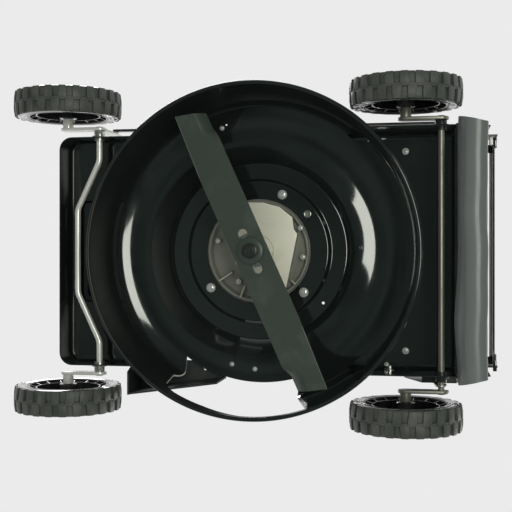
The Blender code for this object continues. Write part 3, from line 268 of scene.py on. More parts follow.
def turnTo(obj, place, way=(0, 0, 1), turn=0.0):
    stand = Vector(way).to_track_quat("Z", "Y").to_matrix().to_4x4()
    obj.data.transform(Matrix.Translation(place) @ stand @ Matrix.Rotation(math.radians(turn), 4, "Z"))
    return obj


def refined(node, width=0.0, segments=2, angle=34):
    # a welded copy of a CAD node with softened edges
    bm = bmesh.new()
    bm.from_mesh(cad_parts[node].data)
    bmesh.ops.remove_doubles(bm, verts=bm.verts, dist=2e-6)
    bmesh.ops.dissolve_limit(bm, angle_limit=math.radians(0.5), verts=bm.verts, edges=bm.edges)
    obj = fromBmesh(bm, weld=False)
    obj.data.transform(Matrix.Translation(-crank))
    return soften(obj, width, segments, angle) if width else obj


def finish(obj, name, material, node=None, body="mower_body", smooth=34, slot=None):
    # names a form, dresses it, puts it on its body and lets it stand in for a CAD node
    obj.name = name
    obj.data.name = name
    obj.data.transform(Matrix.Translation(crank))
    obj.data.materials.clear()
    obj.data.materials.append(material)
    obj.data.shade_smooth()
    obj.data.set_sharp_from_angle(angle=math.radians(smooth))
    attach(obj, body)
    if node:
        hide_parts(node)
    return obj


def secondFinish(obj, material, chosen):
    # gives the faces that are chosen by middle and direction another material
    obj.data.materials.append(material)
    for face in obj.data.polygons:
        if chosen(face.center - crank, face.normal):
            face.material_index = 1


def feed(tree, socket, value):
    # links a socket to another node's output, or sets a value of its own
    if isinstance(value, bpy.types.NodeSocket):
        tree.links.new(value, socket)
    else:
        socket.default_value = (*value, 1.0) if socket.type == "RGBA" and len(value) == 3 else value


def addNode(tree, kind, **inputs):
    made = tree.nodes.new(kind)
    for label, value in inputs.items():
        feed(tree, made.inputs[label.replace("_", " ")], value)
    return made


def mathNode(tree, operation, *values, kind="ShaderNodeMath"):
    made = tree.nodes.new(kind)
    made.operation = operation
    for socket, value in zip(made.inputs, values):
        feed(tree, socket, value)
    return made


def reckon(tree, operation, *values):
    return mathNode(tree, operation, *values).outputs[0]


def groupBase(name, kind, inputs, outputs):
    # a node group with these sockets, each a label and a kind
    group = bpy.data.node_groups.new(name, kind)
    for way, sockets in (("INPUT", inputs), ("OUTPUT", outputs)):
        for label, socket in sockets:
            group.interface.new_socket(label, in_out=way, socket_type="NodeSocket" + socket)
    return group, group.nodes.new("NodeGroupInput").outputs, group.nodes.new("NodeGroupOutput").inputs


def ringTree():
    # copies of one form, evenly round the Z axis
    tree, source, sink = groupBase("copiesRoundAxis", "GeometryNodeTree", (
        ("Form", "Object"), ("Copies", "Int"), ("Radius", "Float"), ("Start Angle", "Float"),
        ("Finish", "Material")), [("Geometry", "Geometry")])
    part = reckon(tree, "DIVIDE", addNode(tree, "GeometryNodeInputIndex").outputs[0], source["Copies"])
    turn = reckon(tree, "ADD", reckon(tree, "MULTIPLY", part, math.tau), source["Start Angle"])
    place = addNode(tree, "ShaderNodeCombineXYZ",
                    X=reckon(tree, "MULTIPLY", reckon(tree, "COSINE", turn), source["Radius"]),
                    Y=reckon(tree, "MULTIPLY", reckon(tree, "SINE", turn), source["Radius"]))
    points = addNode(tree, "GeometryNodePoints", Count=source["Copies"], Position=place.outputs[0])
    form = addNode(tree, "GeometryNodeObjectInfo", Object=source["Form"])
    spin = addNode(tree, "ShaderNodeCombineXYZ", Z=turn)
    copies = addNode(tree, "GeometryNodeInstanceOnPoints", Points=points.outputs[0],
                     Instance=form.outputs["Geometry"], Rotation=spin.outputs[0])
    real = addNode(tree, "GeometryNodeRealizeInstances", Geometry=copies.outputs[0])
    paint = addNode(tree, "GeometryNodeSetMaterial", Geometry=real.outputs[0], Material=source["Finish"])
    feed(tree, sink[0], paint.outputs[0])
    return tree


def around(form, material, copies, radius=0.0, start=0.0):
    # that many copies of a form round the Z axis, as one plain object
    host = newObject("grown", bpy.data.meshes.new("grown"))
    step = host.modifiers.new("grow", "NODES")
    step.node_group = roundAxis
    named = {item.name: item.identifier for item in roundAxis.interface.items_tree if item.in_out == "INPUT"}
    for label, value in (("Form", form), ("Finish", material), ("Copies", copies), ("Radius", radius),
                         ("Start Angle", start)):
        step[named[label]] = value
    applied(host)
    bpy.data.objects.remove(form)
    return host


roundAxis = ringTree()
print("forms and trees ready")


def objectPlace(tree):
    return tree.nodes.new("ShaderNodeTexCoord").outputs["Object"]


def noiseAt(tree, vector, scale, detail=4.0, roughness=0.55, distortion=0.0):
    return addNode(tree, "ShaderNodeTexNoise", Vector=vector, Scale=scale, Detail=detail, Roughness=roughness,
                   Distortion=distortion).outputs["Fac"]


def rangeOf(tree, value, low, high, toLow=0.0, toHigh=1.0):
    return addNode(tree, "ShaderNodeMapRange", Value=value, From_Min=low, From_Max=high, To_Min=toLow,
                   To_Max=toHigh).outputs[0]


def blendColours(tree, factor, one, two):
    made = tree.nodes.new("ShaderNodeMix")
    made.data_type = "RGBA"
    sockets = [s for s in made.inputs if s.type == "RGBA"]
    for socket, value in ((made.inputs[0], factor), (sockets[0], one), (sockets[1], two)):
        feed(tree, socket, value)
    return [s for s in made.outputs if s.type == "RGBA"][0]


def surfaceGrain():
    # fine relief: orange peel on paint, sand texture on a casting, pebbling on plastic
    group, source, sink = groupBase("surfaceGrain", "ShaderNodeTree", (
        ("Scale", "Float"), ("Depth", "Float"), ("Waviness", "Float"), ("Wave Scale", "Float")),
        [("Normal", "Vector")])
    where = objectPlace(group)
    fine = reckon(group, "MULTIPLY", noiseAt(group, where, source["Scale"], 3.0), source["Depth"])
    wave = reckon(group, "MULTIPLY", noiseAt(group, where, source["Wave Scale"], 2.0), source["Waviness"])
    bump = addNode(group, "ShaderNodeBump", Strength=1.0, Distance=reliefHeight,
                   Height=reckon(group, "ADD", fine, wave))
    feed(group, sink["Normal"], bump.outputs[0])
    return group


wear = {
    "cloud": (0.48, 0.74), "line": (0.64, 0.72), "lineScale": (9.0, 160.0, 60.0), "lineTurn": (0.2, 0.1, 0.5),
}


def dustAndScuff():
    # a thin uneven film that dulls a surface, and short scuffs that catch the light
    group, source, sink = groupBase("dustAndScuff", "ShaderNodeTree", (
        ("Base", "Color"), ("Dust", "Color"), ("Amount", "Float"), ("Scale", "Float"), ("Smooth", "Float"),
        ("Dull", "Float"), ("Scuff", "Float")), (("Color", "Color"), ("Roughness", "Float")))
    where = objectPlace(group)
    cloud = rangeOf(group, noiseAt(group, where, source["Scale"], 6.0, 0.62, 0.6), *wear["cloud"])
    stretch = addNode(group, "ShaderNodeMapping", Vector=where, Scale=wear["lineScale"],
                      Rotation=wear["lineTurn"])
    scuff = rangeOf(group, noiseAt(group, stretch.outputs[0], 3.0, 5.0, 0.7), *wear["line"])
    line = reckon(group, "MULTIPLY", scuff, source["Scuff"])
    both = reckon(group, "MAXIMUM", reckon(group, "MULTIPLY", cloud, source["Amount"]), line)
    feed(group, sink["Color"], blendColours(group, both, source["Base"], source["Dust"]))
    level = reckon(group, "MAXIMUM", cloud, line)
    feed(group, sink["Roughness"], rangeOf(group, level, 0.0, 1.0, source["Smooth"], source["Dull"]))
    return group


grainGroup = surfaceGrain()
dustGroup = dustAndScuff()


def groupNode(tree, group, labels, values):
    made = tree.nodes.new("ShaderNodeGroup")
    made.node_tree = group
    for label, value in zip(labels, values):
        feed(tree, made.inputs[label], value)
    return made.outputs


def paintedShadeMask(tree, low, high, most):
    # painted shade: none below one height, that much above another
    rise = addNode(tree, "ShaderNodeSeparateXYZ", Vector=objectPlace(tree))
    return rangeOf(tree, rise.outputs["Z"], low, high, 0.0, most)


# the dull film inside the skirt: where it starts, is full and ends, and where it fades out rearward
skirtFilm = {"start": 0.239, "full": 0.246, "end": 0.267, "frontHalf": (-0.06, 0.03),
             "noseWall": (-0.322, -0.314), "roughness": 0.36}


def skirtMask(tree):
    # the dulled band round the skirt's inside, on its front half, and the nose's front wall
    kind = "ShaderNodeVectorMath"
    place = mathNode(tree, "SUBTRACT", objectPlace(tree), tuple(crank), kind=kind).outputs[0]
    away = mathNode(tree, "MULTIPLY", place, (1, 1, 0), kind=kind).outputs[0]
    reach = mathNode(tree, "LENGTH", away, kind=kind).outputs["Value"]
    along = addNode(tree, "ShaderNodeSeparateXYZ", Vector=away).outputs["X"]
    f = skirtFilm
    band = reckon(tree, "MULTIPLY", rangeOf(tree, reach, f["start"], f["full"]),
                  rangeOf(tree, reach, f["end"], f["end"] + 0.002, 1.0, 0.0))
    band = reckon(tree, "MULTIPLY", band, rangeOf(tree, along, *f["frontHalf"], 1.0, 0.0))
    return reckon(tree, "MAXIMUM", band, rangeOf(tree, along, *f["noseWall"], 1.0, 0.0))


def finishOf(name, colour, smooth, dull, grain, dust, metallic=0.0, coat=0.0, scuff=0.1, paintedShade=None,
             specular=0.5, filmed=False):
    # grain: scale, depth, waviness, wave scale. dust: colour, amount, scale
    made = bpy.data.materials.new(name)
    made.use_nodes = True
    tree = made.node_tree
    shader = tree.nodes["Principled BSDF"].inputs
    for label, value in (("Metallic", metallic), ("Coat Weight", coat), ("Coat Roughness", coatRoughness),
                         ("Specular IOR Level", specular)):
        shader[label].default_value = value
    film = groupNode(tree, dustGroup, ("Base", "Dust", "Amount", "Scale", "Smooth", "Dull", "Scuff"),
                     (colour, *dust, smooth, dull, scuff))
    tint, rough = film["Color"], film["Roughness"]
    # painted shade: the colour turns darker above a height, in the shaded recess
    if paintedShade:
        tint = blendColours(tree, paintedShadeMask(tree, *paintedShade[1:]), tint, paintedShade[0])
    if filmed:
        band = skirtMask(tree)
        rough = reckon(tree, "MAXIMUM", rough, reckon(tree, "MULTIPLY", band, skirtFilm["roughness"]))
        feed(tree, shader["Coat Weight"], reckon(tree, "MULTIPLY", reckon(tree, "SUBTRACT", 1.0, band), coat))
    feed(tree, shader["Base Color"], tint)
    feed(tree, shader["Roughness"], rough)
    relief = groupNode(tree, grainGroup, ("Scale", "Depth", "Waviness", "Wave Scale"), grain)
    feed(tree, shader["Normal"], relief["Normal"])
    return made


deckEnamel = finishOf("deckEnamel", (0.0065, 0.0085, 0.0078), 0.09, 0.22, coat=1.0,
                      grain=(260, 0.02, 0.10, 16), dust=((0.06, 0.07, 0.065), 0.04, 9.0), scuff=0.03,
                      filmed=True)
doorEnamel = finishOf("doorEnamel", (0.0065, 0.0085, 0.0078), 0.09, 0.16, coat=1.0,
                      grain=(260, 0.0, 0.0, 16), dust=((0.06, 0.07, 0.065), 0.04, 9.0), scuff=0.02)
satinBlack = finishOf("satinBlack", (0.016, 0.017, 0.017), 0.32, 0.5,
                      grain=(500, 0.06, 0.05, 20), dust=((0.15, 0.15, 0.14), 0.12, 14.0))
boltSteel = finishOf("boltSteel", (0.040, 0.044, 0.041), 0.26, 0.42, metallic=0.6,
                     grain=(240, 0.05, 0.10, 18), dust=((0.12, 0.12, 0.11), 0.15, 30.0))
zincPlate = finishOf("zincPlate", (0.66, 0.66, 0.63), 0.24, 0.45, metallic=0.9,
                     grain=(300, 0.05, 0.05, 20), dust=((0.30, 0.29, 0.26), 0.25, 22.0), scuff=0.2)
polishedZinc = finishOf("polishedZinc", (0.80, 0.80, 0.75), 0.20, 0.30, metallic=0.5,
                        grain=(300, 0.02, 0.03, 20), dust=((0.34, 0.33, 0.30), 0.10, 22.0), scuff=0.08)
dullZinc = finishOf("dullZinc", (0.31, 0.305, 0.265), 0.36, 0.5, metallic=0.8,
                    grain=(300, 0.05, 0.05, 20), dust=((0.16, 0.155, 0.14), 0.3, 22.0), scuff=0.2)
brightZinc = finishOf("brightZinc", (0.58, 0.58, 0.56), 0.18, 0.30, metallic=0.6,
                      grain=(300, 0.03, 0.03, 20), dust=((0.34, 0.33, 0.30), 0.10, 22.0), scuff=0.08)
# painted light: a near-white finish for the door's hinge rod, standing in for the bright backdrop seen past
# it
paintedBrightRod = finishOf("paintedBrightRod", (0.88, 0.89, 0.86), 0.30, 0.45, metallic=0.1,
                    grain=(300, 0.03, 0.03, 20), dust=((0.5, 0.49, 0.46), 0.10, 22.0), scuff=0.05)
bladeSteel = finishOf("bladeSteel", (0.039, 0.051, 0.042), 0.34, 0.52, metallic=0.25,
                      grain=(220, 0.06, 0.10, 18), dust=((0.085, 0.10, 0.09), 0.22, 22.0), scuff=0.25)
bareSteel = finishOf("bareSteel", (0.46, 0.46, 0.44), 0.22, 0.42, metallic=0.95,
                     grain=(260, 0.06, 0.05, 20), dust=((0.18, 0.16, 0.14), 0.25, 30.0), scuff=0.3)
cutSteel = finishOf("cutSteel", (0.62, 0.62, 0.58), 0.30, 0.5, metallic=0.3,
                    grain=(500, 0.1, 0.1, 20), dust=((0.20, 0.17, 0.14), 0.25, 40.0))
# painted shade: the sump's recess is painted darker higher up, where shade falls
footAlloy = finishOf("footAlloy", (0.56, 0.555, 0.455), 0.42, 0.62, metallic=0.25,
                     grain=(900, 0.22, 0.10, 40), dust=((0.20, 0.19, 0.15), 0.22, 26.0), scuff=0.15,
                     paintedShade=((0.085, 0.090, 0.078), 0.1175, 0.1225, 0.85))  # colour, starts, full, how much
castAlloy = finishOf("castAlloy", (0.47, 0.455, 0.39), 0.42, 0.62, metallic=0.25,
                     grain=(900, 0.22, 0.10, 40), dust=((0.22, 0.21, 0.18), 0.22, 26.0), scuff=0.15)
treadRubber = finishOf("treadRubber", (0.040, 0.046, 0.039), 0.46, 0.66,
                       grain=(700, 0.10, 0.12, 40), dust=((0.115, 0.12, 0.105), 0.35, 26.0), scuff=0.2)
wallRubber = finishOf("wallRubber", (0.030, 0.034, 0.031), 0.08, 0.13, coat=0.8,
                      grain=(600, 0.0, 0.01, 20), dust=((0.06, 0.065, 0.058), 0.04, 26.0), scuff=0.0)
rimPlastic = finishOf("rimPlastic", (0.010, 0.011, 0.011), 0.07, 0.18, coat=0.5,
                      grain=(500, 0.015, 0.04, 30), dust=((0.14, 0.14, 0.13), 0.12, 20.0))
# painted highlight: pale grey for the rim's lips and ribs, where the black plastic shines
paintedRimHighlight = finishOf("paintedRimHighlight", (0.30, 0.31, 0.30), 0.10, 0.25, coat=0.5,
                       grain=(500, 0.01, 0.03, 30), dust=((0.20, 0.20, 0.19), 0.12, 20.0))
flapRubber = finishOf("flapRubber", (0.100, 0.111, 0.107), 0.30, 0.42,
                      grain=(420, 0.08, 0.30, 24), dust=((0.15, 0.155, 0.15), 0.30, 12.0), scuff=0.2)
hoodPlastic = finishOf("hoodPlastic", (0.027, 0.031, 0.030), 0.55, 0.68, specular=0.15,
                       grain=(800, 0.14, 0.05, 30), dust=((0.12, 0.12, 0.11), 0.25, 15.0), scuff=0.2)
coverPlastic = finishOf("coverPlastic", (0.014, 0.015, 0.016), 0.28, 0.46,
                        grain=(900, 0.12, 0.05, 30), dust=((0.16, 0.155, 0.14), 0.16, 12.0), scuff=0.15)
warmSteel = finishOf("warmSteel", (0.20, 0.19, 0.175), 0.42, 0.62, metallic=0.8,
                     grain=(300, 0.08, 0.1, 20), dust=((0.20, 0.13, 0.075), 0.45, 18.0), scuff=0.2)
handlePaint = finishOf("handlePaint", (0.012, 0.013, 0.013), 0.22, 0.4, coat=0.2,
                       grain=(420, 0.05, 0.04, 20), dust=((0.15, 0.15, 0.14), 0.12, 12.0), scuff=0.12)
gripFoam = finishOf("gripFoam", (0.018, 0.018, 0.018), 0.78, 0.92, specular=0.2,
                    grain=(1400, 0.5, 0.05, 30), dust=((0.09, 0.09, 0.085), 0.2, 16.0), scuff=0.0)
plugCeramic = finishOf("plugCeramic", (0.74, 0.72, 0.67), 0.14, 0.3,
                       grain=(300, 0.02, 0.02, 20), dust=((0.35, 0.33, 0.3), 0.15, 30.0), scuff=0.05)
print("finishes ready")


studio = {
    "lens": 66.09, "camera": (0.2765, 0.002, -1.412), "tilt": 10.0, "floorSize": 7.0,
    "backdrop": (0.83, 0.83, 0.83), "fill": (0.88, 0.88, 0.86), "room": (0.112, 0.148, 0.135),
    "roomDark": (0.025, 0.040, 0.036), "darkBelow": -0.35, "brightAbove": 0.45,
    "patchScale": 1.9, "patchRange": (0.36, 0.64), "floorDrop": 0.0005,
    "floorDark": (0.78, 0.78, 0.77), "floorPale": (0.82, 0.82, 0.81),
    # name, place, aimed at, width, height, power, colour
    "lamps": (
        ("rearPanel", (1.06, -0.27, -2.24), (0.0, 0.0, 0.14), 1.12, 0.72, 18.0, (0.98, 1.0, 0.90)),
        ("overKey", (-0.9, -1.3, 2.1), (0.0, 0.0, 0.15), 1.20, 1.20, 30.0, (1, 1, 1)),
        ("overFill", (1.5, 1.4, 1.7), (0.0, 0.0, 0.15), 1.40, 1.40, 18.0, (1, 1, 1)),
    ),
}


def setLamps():
    for name, place, target, width, height, power, colour in studio["lamps"]:
        lamp = bpy.data.lights.new(name, "AREA")
        lamp.shape = "RECTANGLE"
        lamp.size, lamp.size_y, lamp.energy, lamp.color = width, height, power, colour
        lit = newObject(name, lamp)
        lit.location = place
        lit.rotation_euler = (Vector(target) - Vector(place)).to_track_quat("-Z", "Y").to_euler()
        lit.visible_camera = False


def setWorld():
    world = bpy.data.worlds.new("studioWorld")
    bpy.context.scene.world = world
    world.use_nodes = True
    tree = world.node_tree
    path = tree.nodes.new("ShaderNodeLightPath").outputs
    seen = reckon(tree, "MAXIMUM", path["Is Camera Ray"], path["Is Transmission Ray"])
    # what gloss shows: the white paper above and beside the mower, and an uneven dark room below it
    where = tree.nodes.new("ShaderNodeTexCoord").outputs["Generated"]
    height = addNode(tree, "ShaderNodeSeparateXYZ", Vector=where).outputs["Z"]
    uneven = rangeOf(tree, noiseAt(tree, where, studio["patchScale"], 1.0), *studio["patchRange"])
    room = blendColours(tree, uneven, studio["roomDark"], studio["room"])
    rise = rangeOf(tree, height, studio["darkBelow"], studio["brightAbove"])
    mirrored = blendColours(tree, rise, room, studio["backdrop"])
    lit = blendColours(tree, path["Is Glossy Ray"], studio["fill"], mirrored)
    back = tree.nodes["Background"].inputs
    feed(tree, back["Color"], blendColours(tree, seen, lit, studio["backdrop"]))
    back["Strength"].default_value = 1.0


def setCamera():
    camera = bpy.data.cameras.new("photoCamera")
    camera.lens, camera.sensor_width = studio["lens"], 36.0
    camera.clip_start, camera.clip_end = 0.05, 20.0
    eye = newObject("photoCamera", camera)
    tilt = math.radians(studio["tilt"])
    right, up = Vector((math.cos(tilt), 0, math.sin(tilt))), Vector((0, -1, 0))
    turn = Matrix((right, up, right.cross(up))).transposed().to_4x4()
    eye.matrix_world = Matrix.Translation(studio["camera"]) @ turn
    bpy.context.scene.camera = eye
    bpy.context.scene.view_settings.view_transform = "Standard"


def setFloor():
    # its back is clear, so the photograph's view from below looks through it
    bm = bmesh.new()
    bmesh.ops.create_grid(bm, x_segments=1, y_segments=1, size=studio["floorSize"])
    bmesh.ops.translate(bm, vec=(0, 0, -studio["floorDrop"]), verts=bm.verts)
    floor = fromBmesh(bm)
    floor.name = "floor"
    paint = bpy.data.materials.new("paleFloor")
    paint.use_nodes = True
    tree = paint.node_tree
    shader = tree.nodes["Principled BSDF"]
    shader.inputs["Roughness"].default_value = 0.9
    shader.inputs["Specular IOR Level"].default_value = 0.1
    cloud = rangeOf(tree, noiseAt(tree, objectPlace(tree), 3.0), 0.3, 0.7)
    paleness = blendColours(tree, cloud, studio["floorDark"], studio["floorPale"])
    feed(tree, shader.inputs["Base Color"], paleness)
    side = tree.nodes.new("ShaderNodeNewGeometry").outputs["Backfacing"]
    mix = tree.nodes.new("ShaderNodeMixShader")
    clear = tree.nodes.new("ShaderNodeBsdfTransparent")
    for socket, value in zip(mix.inputs, (side, shader.outputs[0], clear.outputs[0])):
        feed(tree, socket, value)
    feed(tree, tree.nodes["Material Output"].inputs["Surface"], mix.outputs[0])
    floor.data.materials.append(paint)
    floor.visible_diffuse = floor.visible_glossy = floor.visible_shadow = floor.visible_transmission = False


setLamps()
setWorld()
setCamera()
setFloor()
print("studio ready")


deck = {
    "steps": 240, "sheet": 0.002, "plateHeight": 0.128, "plateRadius": 0.116, "shelfHeight": 0.134,
    "shelfStep": 0.005, "channelRadius": 0.152, "riser": 0.0065, "innerPull": 0.182, "crownRadius": 0.202,
    "bends": ((0.078, 19.3), (0.115, 27.0)), "outerPull": (0.2486, 0.1391),  # bends: radius, slope reached
    "roofHeight": 0.153, "wallRadius": 0.251, "domeEdge": 0.243, "shoulderHeight": 0.122,
    "footRadius": 0.262, "footHeight": 0.044, "rimHeight": 0.036, "rimRadius": 0.2684,
    "engineHole": 0.087, "boltCircle": 0.1016, "boltAngles": (-67, 42, 143), "spareAngle": -37,
    "boltBore": 0.0043,
    # corners and edges: radius, and segments where two values are given
    "apronFront": -0.326, "apronRear": -0.10, "apronHalf": 0.189, "apronRoof": 0.122, "apronFoot": 0.070,
    "apronCorner": (0.021, 8), "apronEdge": (0.007, 4), "roomCorner": (0.019, 8), "roomEdge": (0.006, 4),
    "pocketFront": -0.312, "pocketHalf": 0.088, "pocketRoof": 0.136, "pocketCorner": (0.014, 6),
    "pocketEdge": (0.004, 3), "frontPart": -0.2, "apronPart": -0.11,
    "tunnelStart": 0.10, "tunnelEnd": 0.372, "tunnelHalf": 0.195, "tunnelFoot": 0.065, "tunnelEdge": 0.010,
    "tunnelRoomEdge": 0.009, "tailStart": 0.330, "tailFoot": 0.084, "baffleTop": 0.092, "baffleGap": 0.0003,
    "beyond": 0.03, "below": -0.02, "drill": (0.1, 0.2),  # how far the cutting forms reach
    "openFront": -0.143, "openRear": (0.088, 0.064), "openFoot": 0.0470, "openSill": 0.0570,
    "openCorner": 0.020, "openBrow": 0.116, "openRadius": 0.221, "openTop": 0.18, "openInside": 0.10,
    "openSteps": ((-0.080, -0.019), (0.0175, 0.0140, 0.0275)), "sillDip": 0.0005, "rearStep": 0.130,
    "rodHeight": 0.089, "rodPlaces": (-0.263, 0.297), "rodBore": 0.0093,
    "flapRod": (0.322, 0.074), "flapBore": 0.0034,
    # drilled holes: x, y, radius
    "holes": ((0.1685, -0.006, 0.0028), (0.107, 0.0855, 0.0024), (-0.058, -0.150, 0.0022),
              (-0.0595, -0.2145, 0.0014)),
}


def undersideLine():
    # half of the deck's inside, from the shaft out to the skirt's foot
    d = deck
    step, shelf, plate = d["shelfStep"], d["shelfHeight"], d["plateHeight"]
    rise = (d["channelRadius"], shelf + d["riser"])
    corners = [(0, plate), (d["plateRadius"], plate), (d["plateRadius"] + step, shelf),
               (d["channelRadius"] - step, shelf), rise]
    line = rounded(corners, (0.004, 0.004, 0.005), 4)[:-1]
    line += bendPoints(Vector(rise), Vector((d["innerPull"], d["roofHeight"])),
                       Vector((d["crownRadius"], d["roofHeight"])), 14)[1:]
    slope = 0.0
    for size, goal in d["bends"]:
        x, z = line[-1]
        for k in range(1, 7):
            turn = slope + (math.radians(goal) - slope) * k / 6
            line.append(Vector((x + size * (math.sin(turn) - math.sin(slope)),
                                z - size * (math.cos(slope) - math.cos(turn)))))
        slope = math.radians(goal)
    wall = Vector((d["wallRadius"], d["shoulderHeight"]))
    line += bendPoints(line[-1], Vector(d["outerPull"]), wall, 10)[1:]
    return line + [Vector((d["footRadius"], d["footHeight"]))]


def rolledHem():
    # down the outer side and back under, round the skirt's foot
    size = (deck["rimRadius"] - deck["footRadius"]) / 2
    return circlePoints((deck["footRadius"] + size, deck["rimHeight"] + size), size, 62, -180, 14)


def skirtBand():
    line = undersideLine()
    return lathe(beside(line, deck["sheet"])[-2:] + rolledHem() + line[-2:][::-1], deck["steps"])


def upright(radius, low, high, at=(0, 0), sides=240):
    return bar((*at, low), (*at, high), radius, sides)


def crossways(radius, place, half=0.3, sides=16):
    return bar((place[0], -half, place[1]), (place[0], half, place[1]), radius, sides)


def noseBox(x, half, z, inward, corners, edges, edgesTo):
    # a box whose front corners and roof edges are rounded, each by a radius in so many segments
    made = block((x[0] + inward, x[1]), (inward - half, half - inward), (z[0], z[1] - inward))
    soften(made, *corners, choose=lambda at, way: abs(way.z) > 0.9 and at.x < deck["frontPart"])
    return soften(made, *edges, choose=lambda at, way: at.z > z[1] - inward - 0.001 and at.x < edgesTo)


def apronBox(foot, inward, corners, edges):
    d = deck
    return noseBox((d["apronFront"], d["apronRear"]), d["apronHalf"], (foot, d["apronRoof"]), inward,
                   corners, edges, d["apronPart"])


def pocketBox(foot, inward):
    d = deck
    return noseBox((d["pocketFront"], -d["crownRadius"]), d["pocketHalf"], (foot, d["pocketRoof"]), inward,
                   d["pocketCorner"], d["pocketEdge"], d["frontPart"])


def noseRoom(shrink):
    d, inward = deck, deck["sheet"] + shrink
    return join(apronBox(d["below"], inward, d["roomCorner"], d["roomEdge"]), pocketBox(0.05, inward))


def tunnelBox(end, half, z, round, outside):
    d = deck
    made = block((d["tunnelStart"], end), (-half, half), z)
    soften(made, round, 4, choose=lambda at, way: at.z > d["roofHeight"] - 0.001 and abs(way.x) > 0.9)
    return carve(made, upright(d["domeEdge"] - outside, -0.1, 0.3))


def openingForm():
    # what is cut from the right side, in outline, and kept clear of the ring's channel
    d = deck
    front, sill, foot, rear = d["openFront"], d["openSill"], d["openFoot"], d["openRear"]
    outline = circlePoints((front + d["openCorner"], sill + d["openCorner"]), d["openCorner"], 180, 270, 10)
    (sillEnd, footStart), (top, shoulder, rise) = d["openSteps"]
    brow, high = d["openBrow"], d["openTop"]
    outline += [(sillEnd, sill - d["sillDip"]), (footStart, foot), (rear[0], foot), (rear[1], d["rearStep"]),
                (rear[1], high), (front + top, high), (front + shoulder, brow + rise), (front, brow)]
    return carve(slab(outline, d["openInside"], 0.32, "Y"), upright(d["openRadius"], 0, 0.3))


def onOpeningEdge(at, way):
    d, reach = deck, math.hypot(at.x, at.y)
    along = d["openFront"] - 0.003 < at.x < d["openRear"][0] + 0.004
    if at.y < d["openInside"] or at.z < d["openFoot"] + 0.0005 or not along:
        return False
    flatEdge = abs(way.y) < 0.02 and reach > d["openRadius"]
    return flatEdge or (abs(reach - d["openRadius"]) < 0.0006 and abs(way.z) < 0.2)


def buildDeck():
    d = deck
    line, roof = undersideLine(), d["roofHeight"]
    shell = lathe(beside(line, d["sheet"]) + rolledHem() + [(0, d["rimHeight"])], d["steps"])
    tunnel = tunnelBox(d["tunnelEnd"], d["tunnelHalf"], (d["tunnelFoot"], roof + d["sheet"]),
                       d["tunnelEdge"], 0.004)
    apron = apronBox(d["apronFoot"], 0, d["apronCorner"], d["apronEdge"])
    shell = join(shell, apron, pocketBox(0.10, 0), tunnel)
    hollow = lathe(line + [(d["footRadius"], d["below"]), (0, d["below"])], d["steps"])
    beyond = d["tunnelEnd"] + d["beyond"]
    room = tunnelBox(beyond, d["tunnelHalf"] - d["sheet"], (d["below"], roof), d["tunnelRoomEdge"], 0.002)
    shell = carve(shell, hollow, noseRoom(0), room)
    shell = carve(shell, block((d["tailStart"], beyond), (-0.25, 0.25), (0.0, d["tailFoot"])),
                  upright(d["engineHole"], *d["drill"], sides=96), openingForm())
    for angle in (*d["boltAngles"], d["spareAngle"]):
        shell = carve(shell, upright(d["boltBore"], *d["drill"], onCircle(d["boltCircle"], angle), 24))
    for x, y, size in d["holes"]:
        shell = carve(shell, upright(size, *d["drill"], (x, y), 16))
    for x in d["rodPlaces"]:
        shell = carve(shell, crossways(d["rodBore"], (x, d["rodHeight"]), sides=32))
    shell = carve(shell, crossways(d["flapBore"], d["flapRod"]))
    finish(shell, "deckShell", deckEnamel, "deck", smooth=26)
    secondFinish(shell, cutSteel, onOpeningEdge)  # bare steel on the sheet's cut edge


def buildBaffles():
    d = deck
    front = overlap(skirtBand(), noseRoom(d["baffleGap"]))
    finish(front, "frontBafflePlate", deckEnamel, "front_baffle", smooth=26)
    half = d["tunnelHalf"] - d["sheet"] - d["baffleGap"]
    rear = overlap(skirtBand(), block((d["tunnelStart"], 0.3), (-half, half), (0, d["baffleTop"])))
    finish(rear, "rearBafflePlate", deckEnamel, "rear_baffle", smooth=26)


buildDeck()
buildBaffles()
print("deck and baffles ready")


wheel = {
    "radius": 0.0886, "half": 0.0218, "blocks": 24, "blockDepth": 0.0042, "rimRadius": 0.0655,
    "hubRadius": 0.015, "hubLength": 0.044, "ribs": 16, "webs": 8, "holes": 5, "spokes": 10,
    "ringRadius": 0.0525, "spindle": 0.006, "height": 0.089,
    "slotInner": 0.0205, "slotOuter": 0.033, "slotAngle": 13,
    # end, x, left y, right y
    "places": (("front", -0.318, -0.244, 0.244), ("rear", 0.242, -0.248, 0.260)),
}
axle = {
    "rod": 0.005, "arm": 0.055, "armRadius": 0.012, "armThickness": 0.005, "bend": 0.038, "frontX": -0.263,
    "rearX": 0.297, "frontArm": 0.2035, "rearLeft": 0.208, "rearRight": 0.221, "nut": 0.008, "lift": 0.090,
    "nutRadius": 0.0090, "collar": 0.0090, "washer": 0.0105, "washerThickness": 0.0016, "boss": 0.0062,
    "lever": 0.009, "pin": 0.003, "crankOuter": 0.150, "crankInner": 0.070, "bendRadius": 0.030,
}


def treadBlock(flip):
    # a broad block with slanted sides: the gap to the next one is a deep, open pocket
    h = wheel["half"]
    outline = [(-0.0066, 0.0006), (-0.0010, 0.0016), (0.0074, -0.0004), (0.0064, h * 0.45),
               (0.0054, h - 0.0012), (-0.0062, h - 0.0012), (-0.0070, h * 0.5)]
    form = slab([(a, -b if flip else b) for a, b in outline], -wheel["blockDepth"] - 0.001, 0.0, "X")
    for vertex in form.data.vertices:  # the shoulder end leans down, as on a moulded tyre
        if vertex.co.x > -0.001 and abs(vertex.co.z) > h - 0.002:
            vertex.co.x -= 0.0016
    return soften(form, 0.0007, 2, 30)


def placeWheel(obj, x, y):
    turn = Matrix.Rotation(-math.pi / 2, 4, "X")  # the axle's axis becomes Y
    if y < 0:
        turn = Matrix.Rotation(math.pi, 4, "Z") @ turn
    obj.data.transform(Matrix.Translation((x, y, wheel["height"])) @ turn)
    return obj


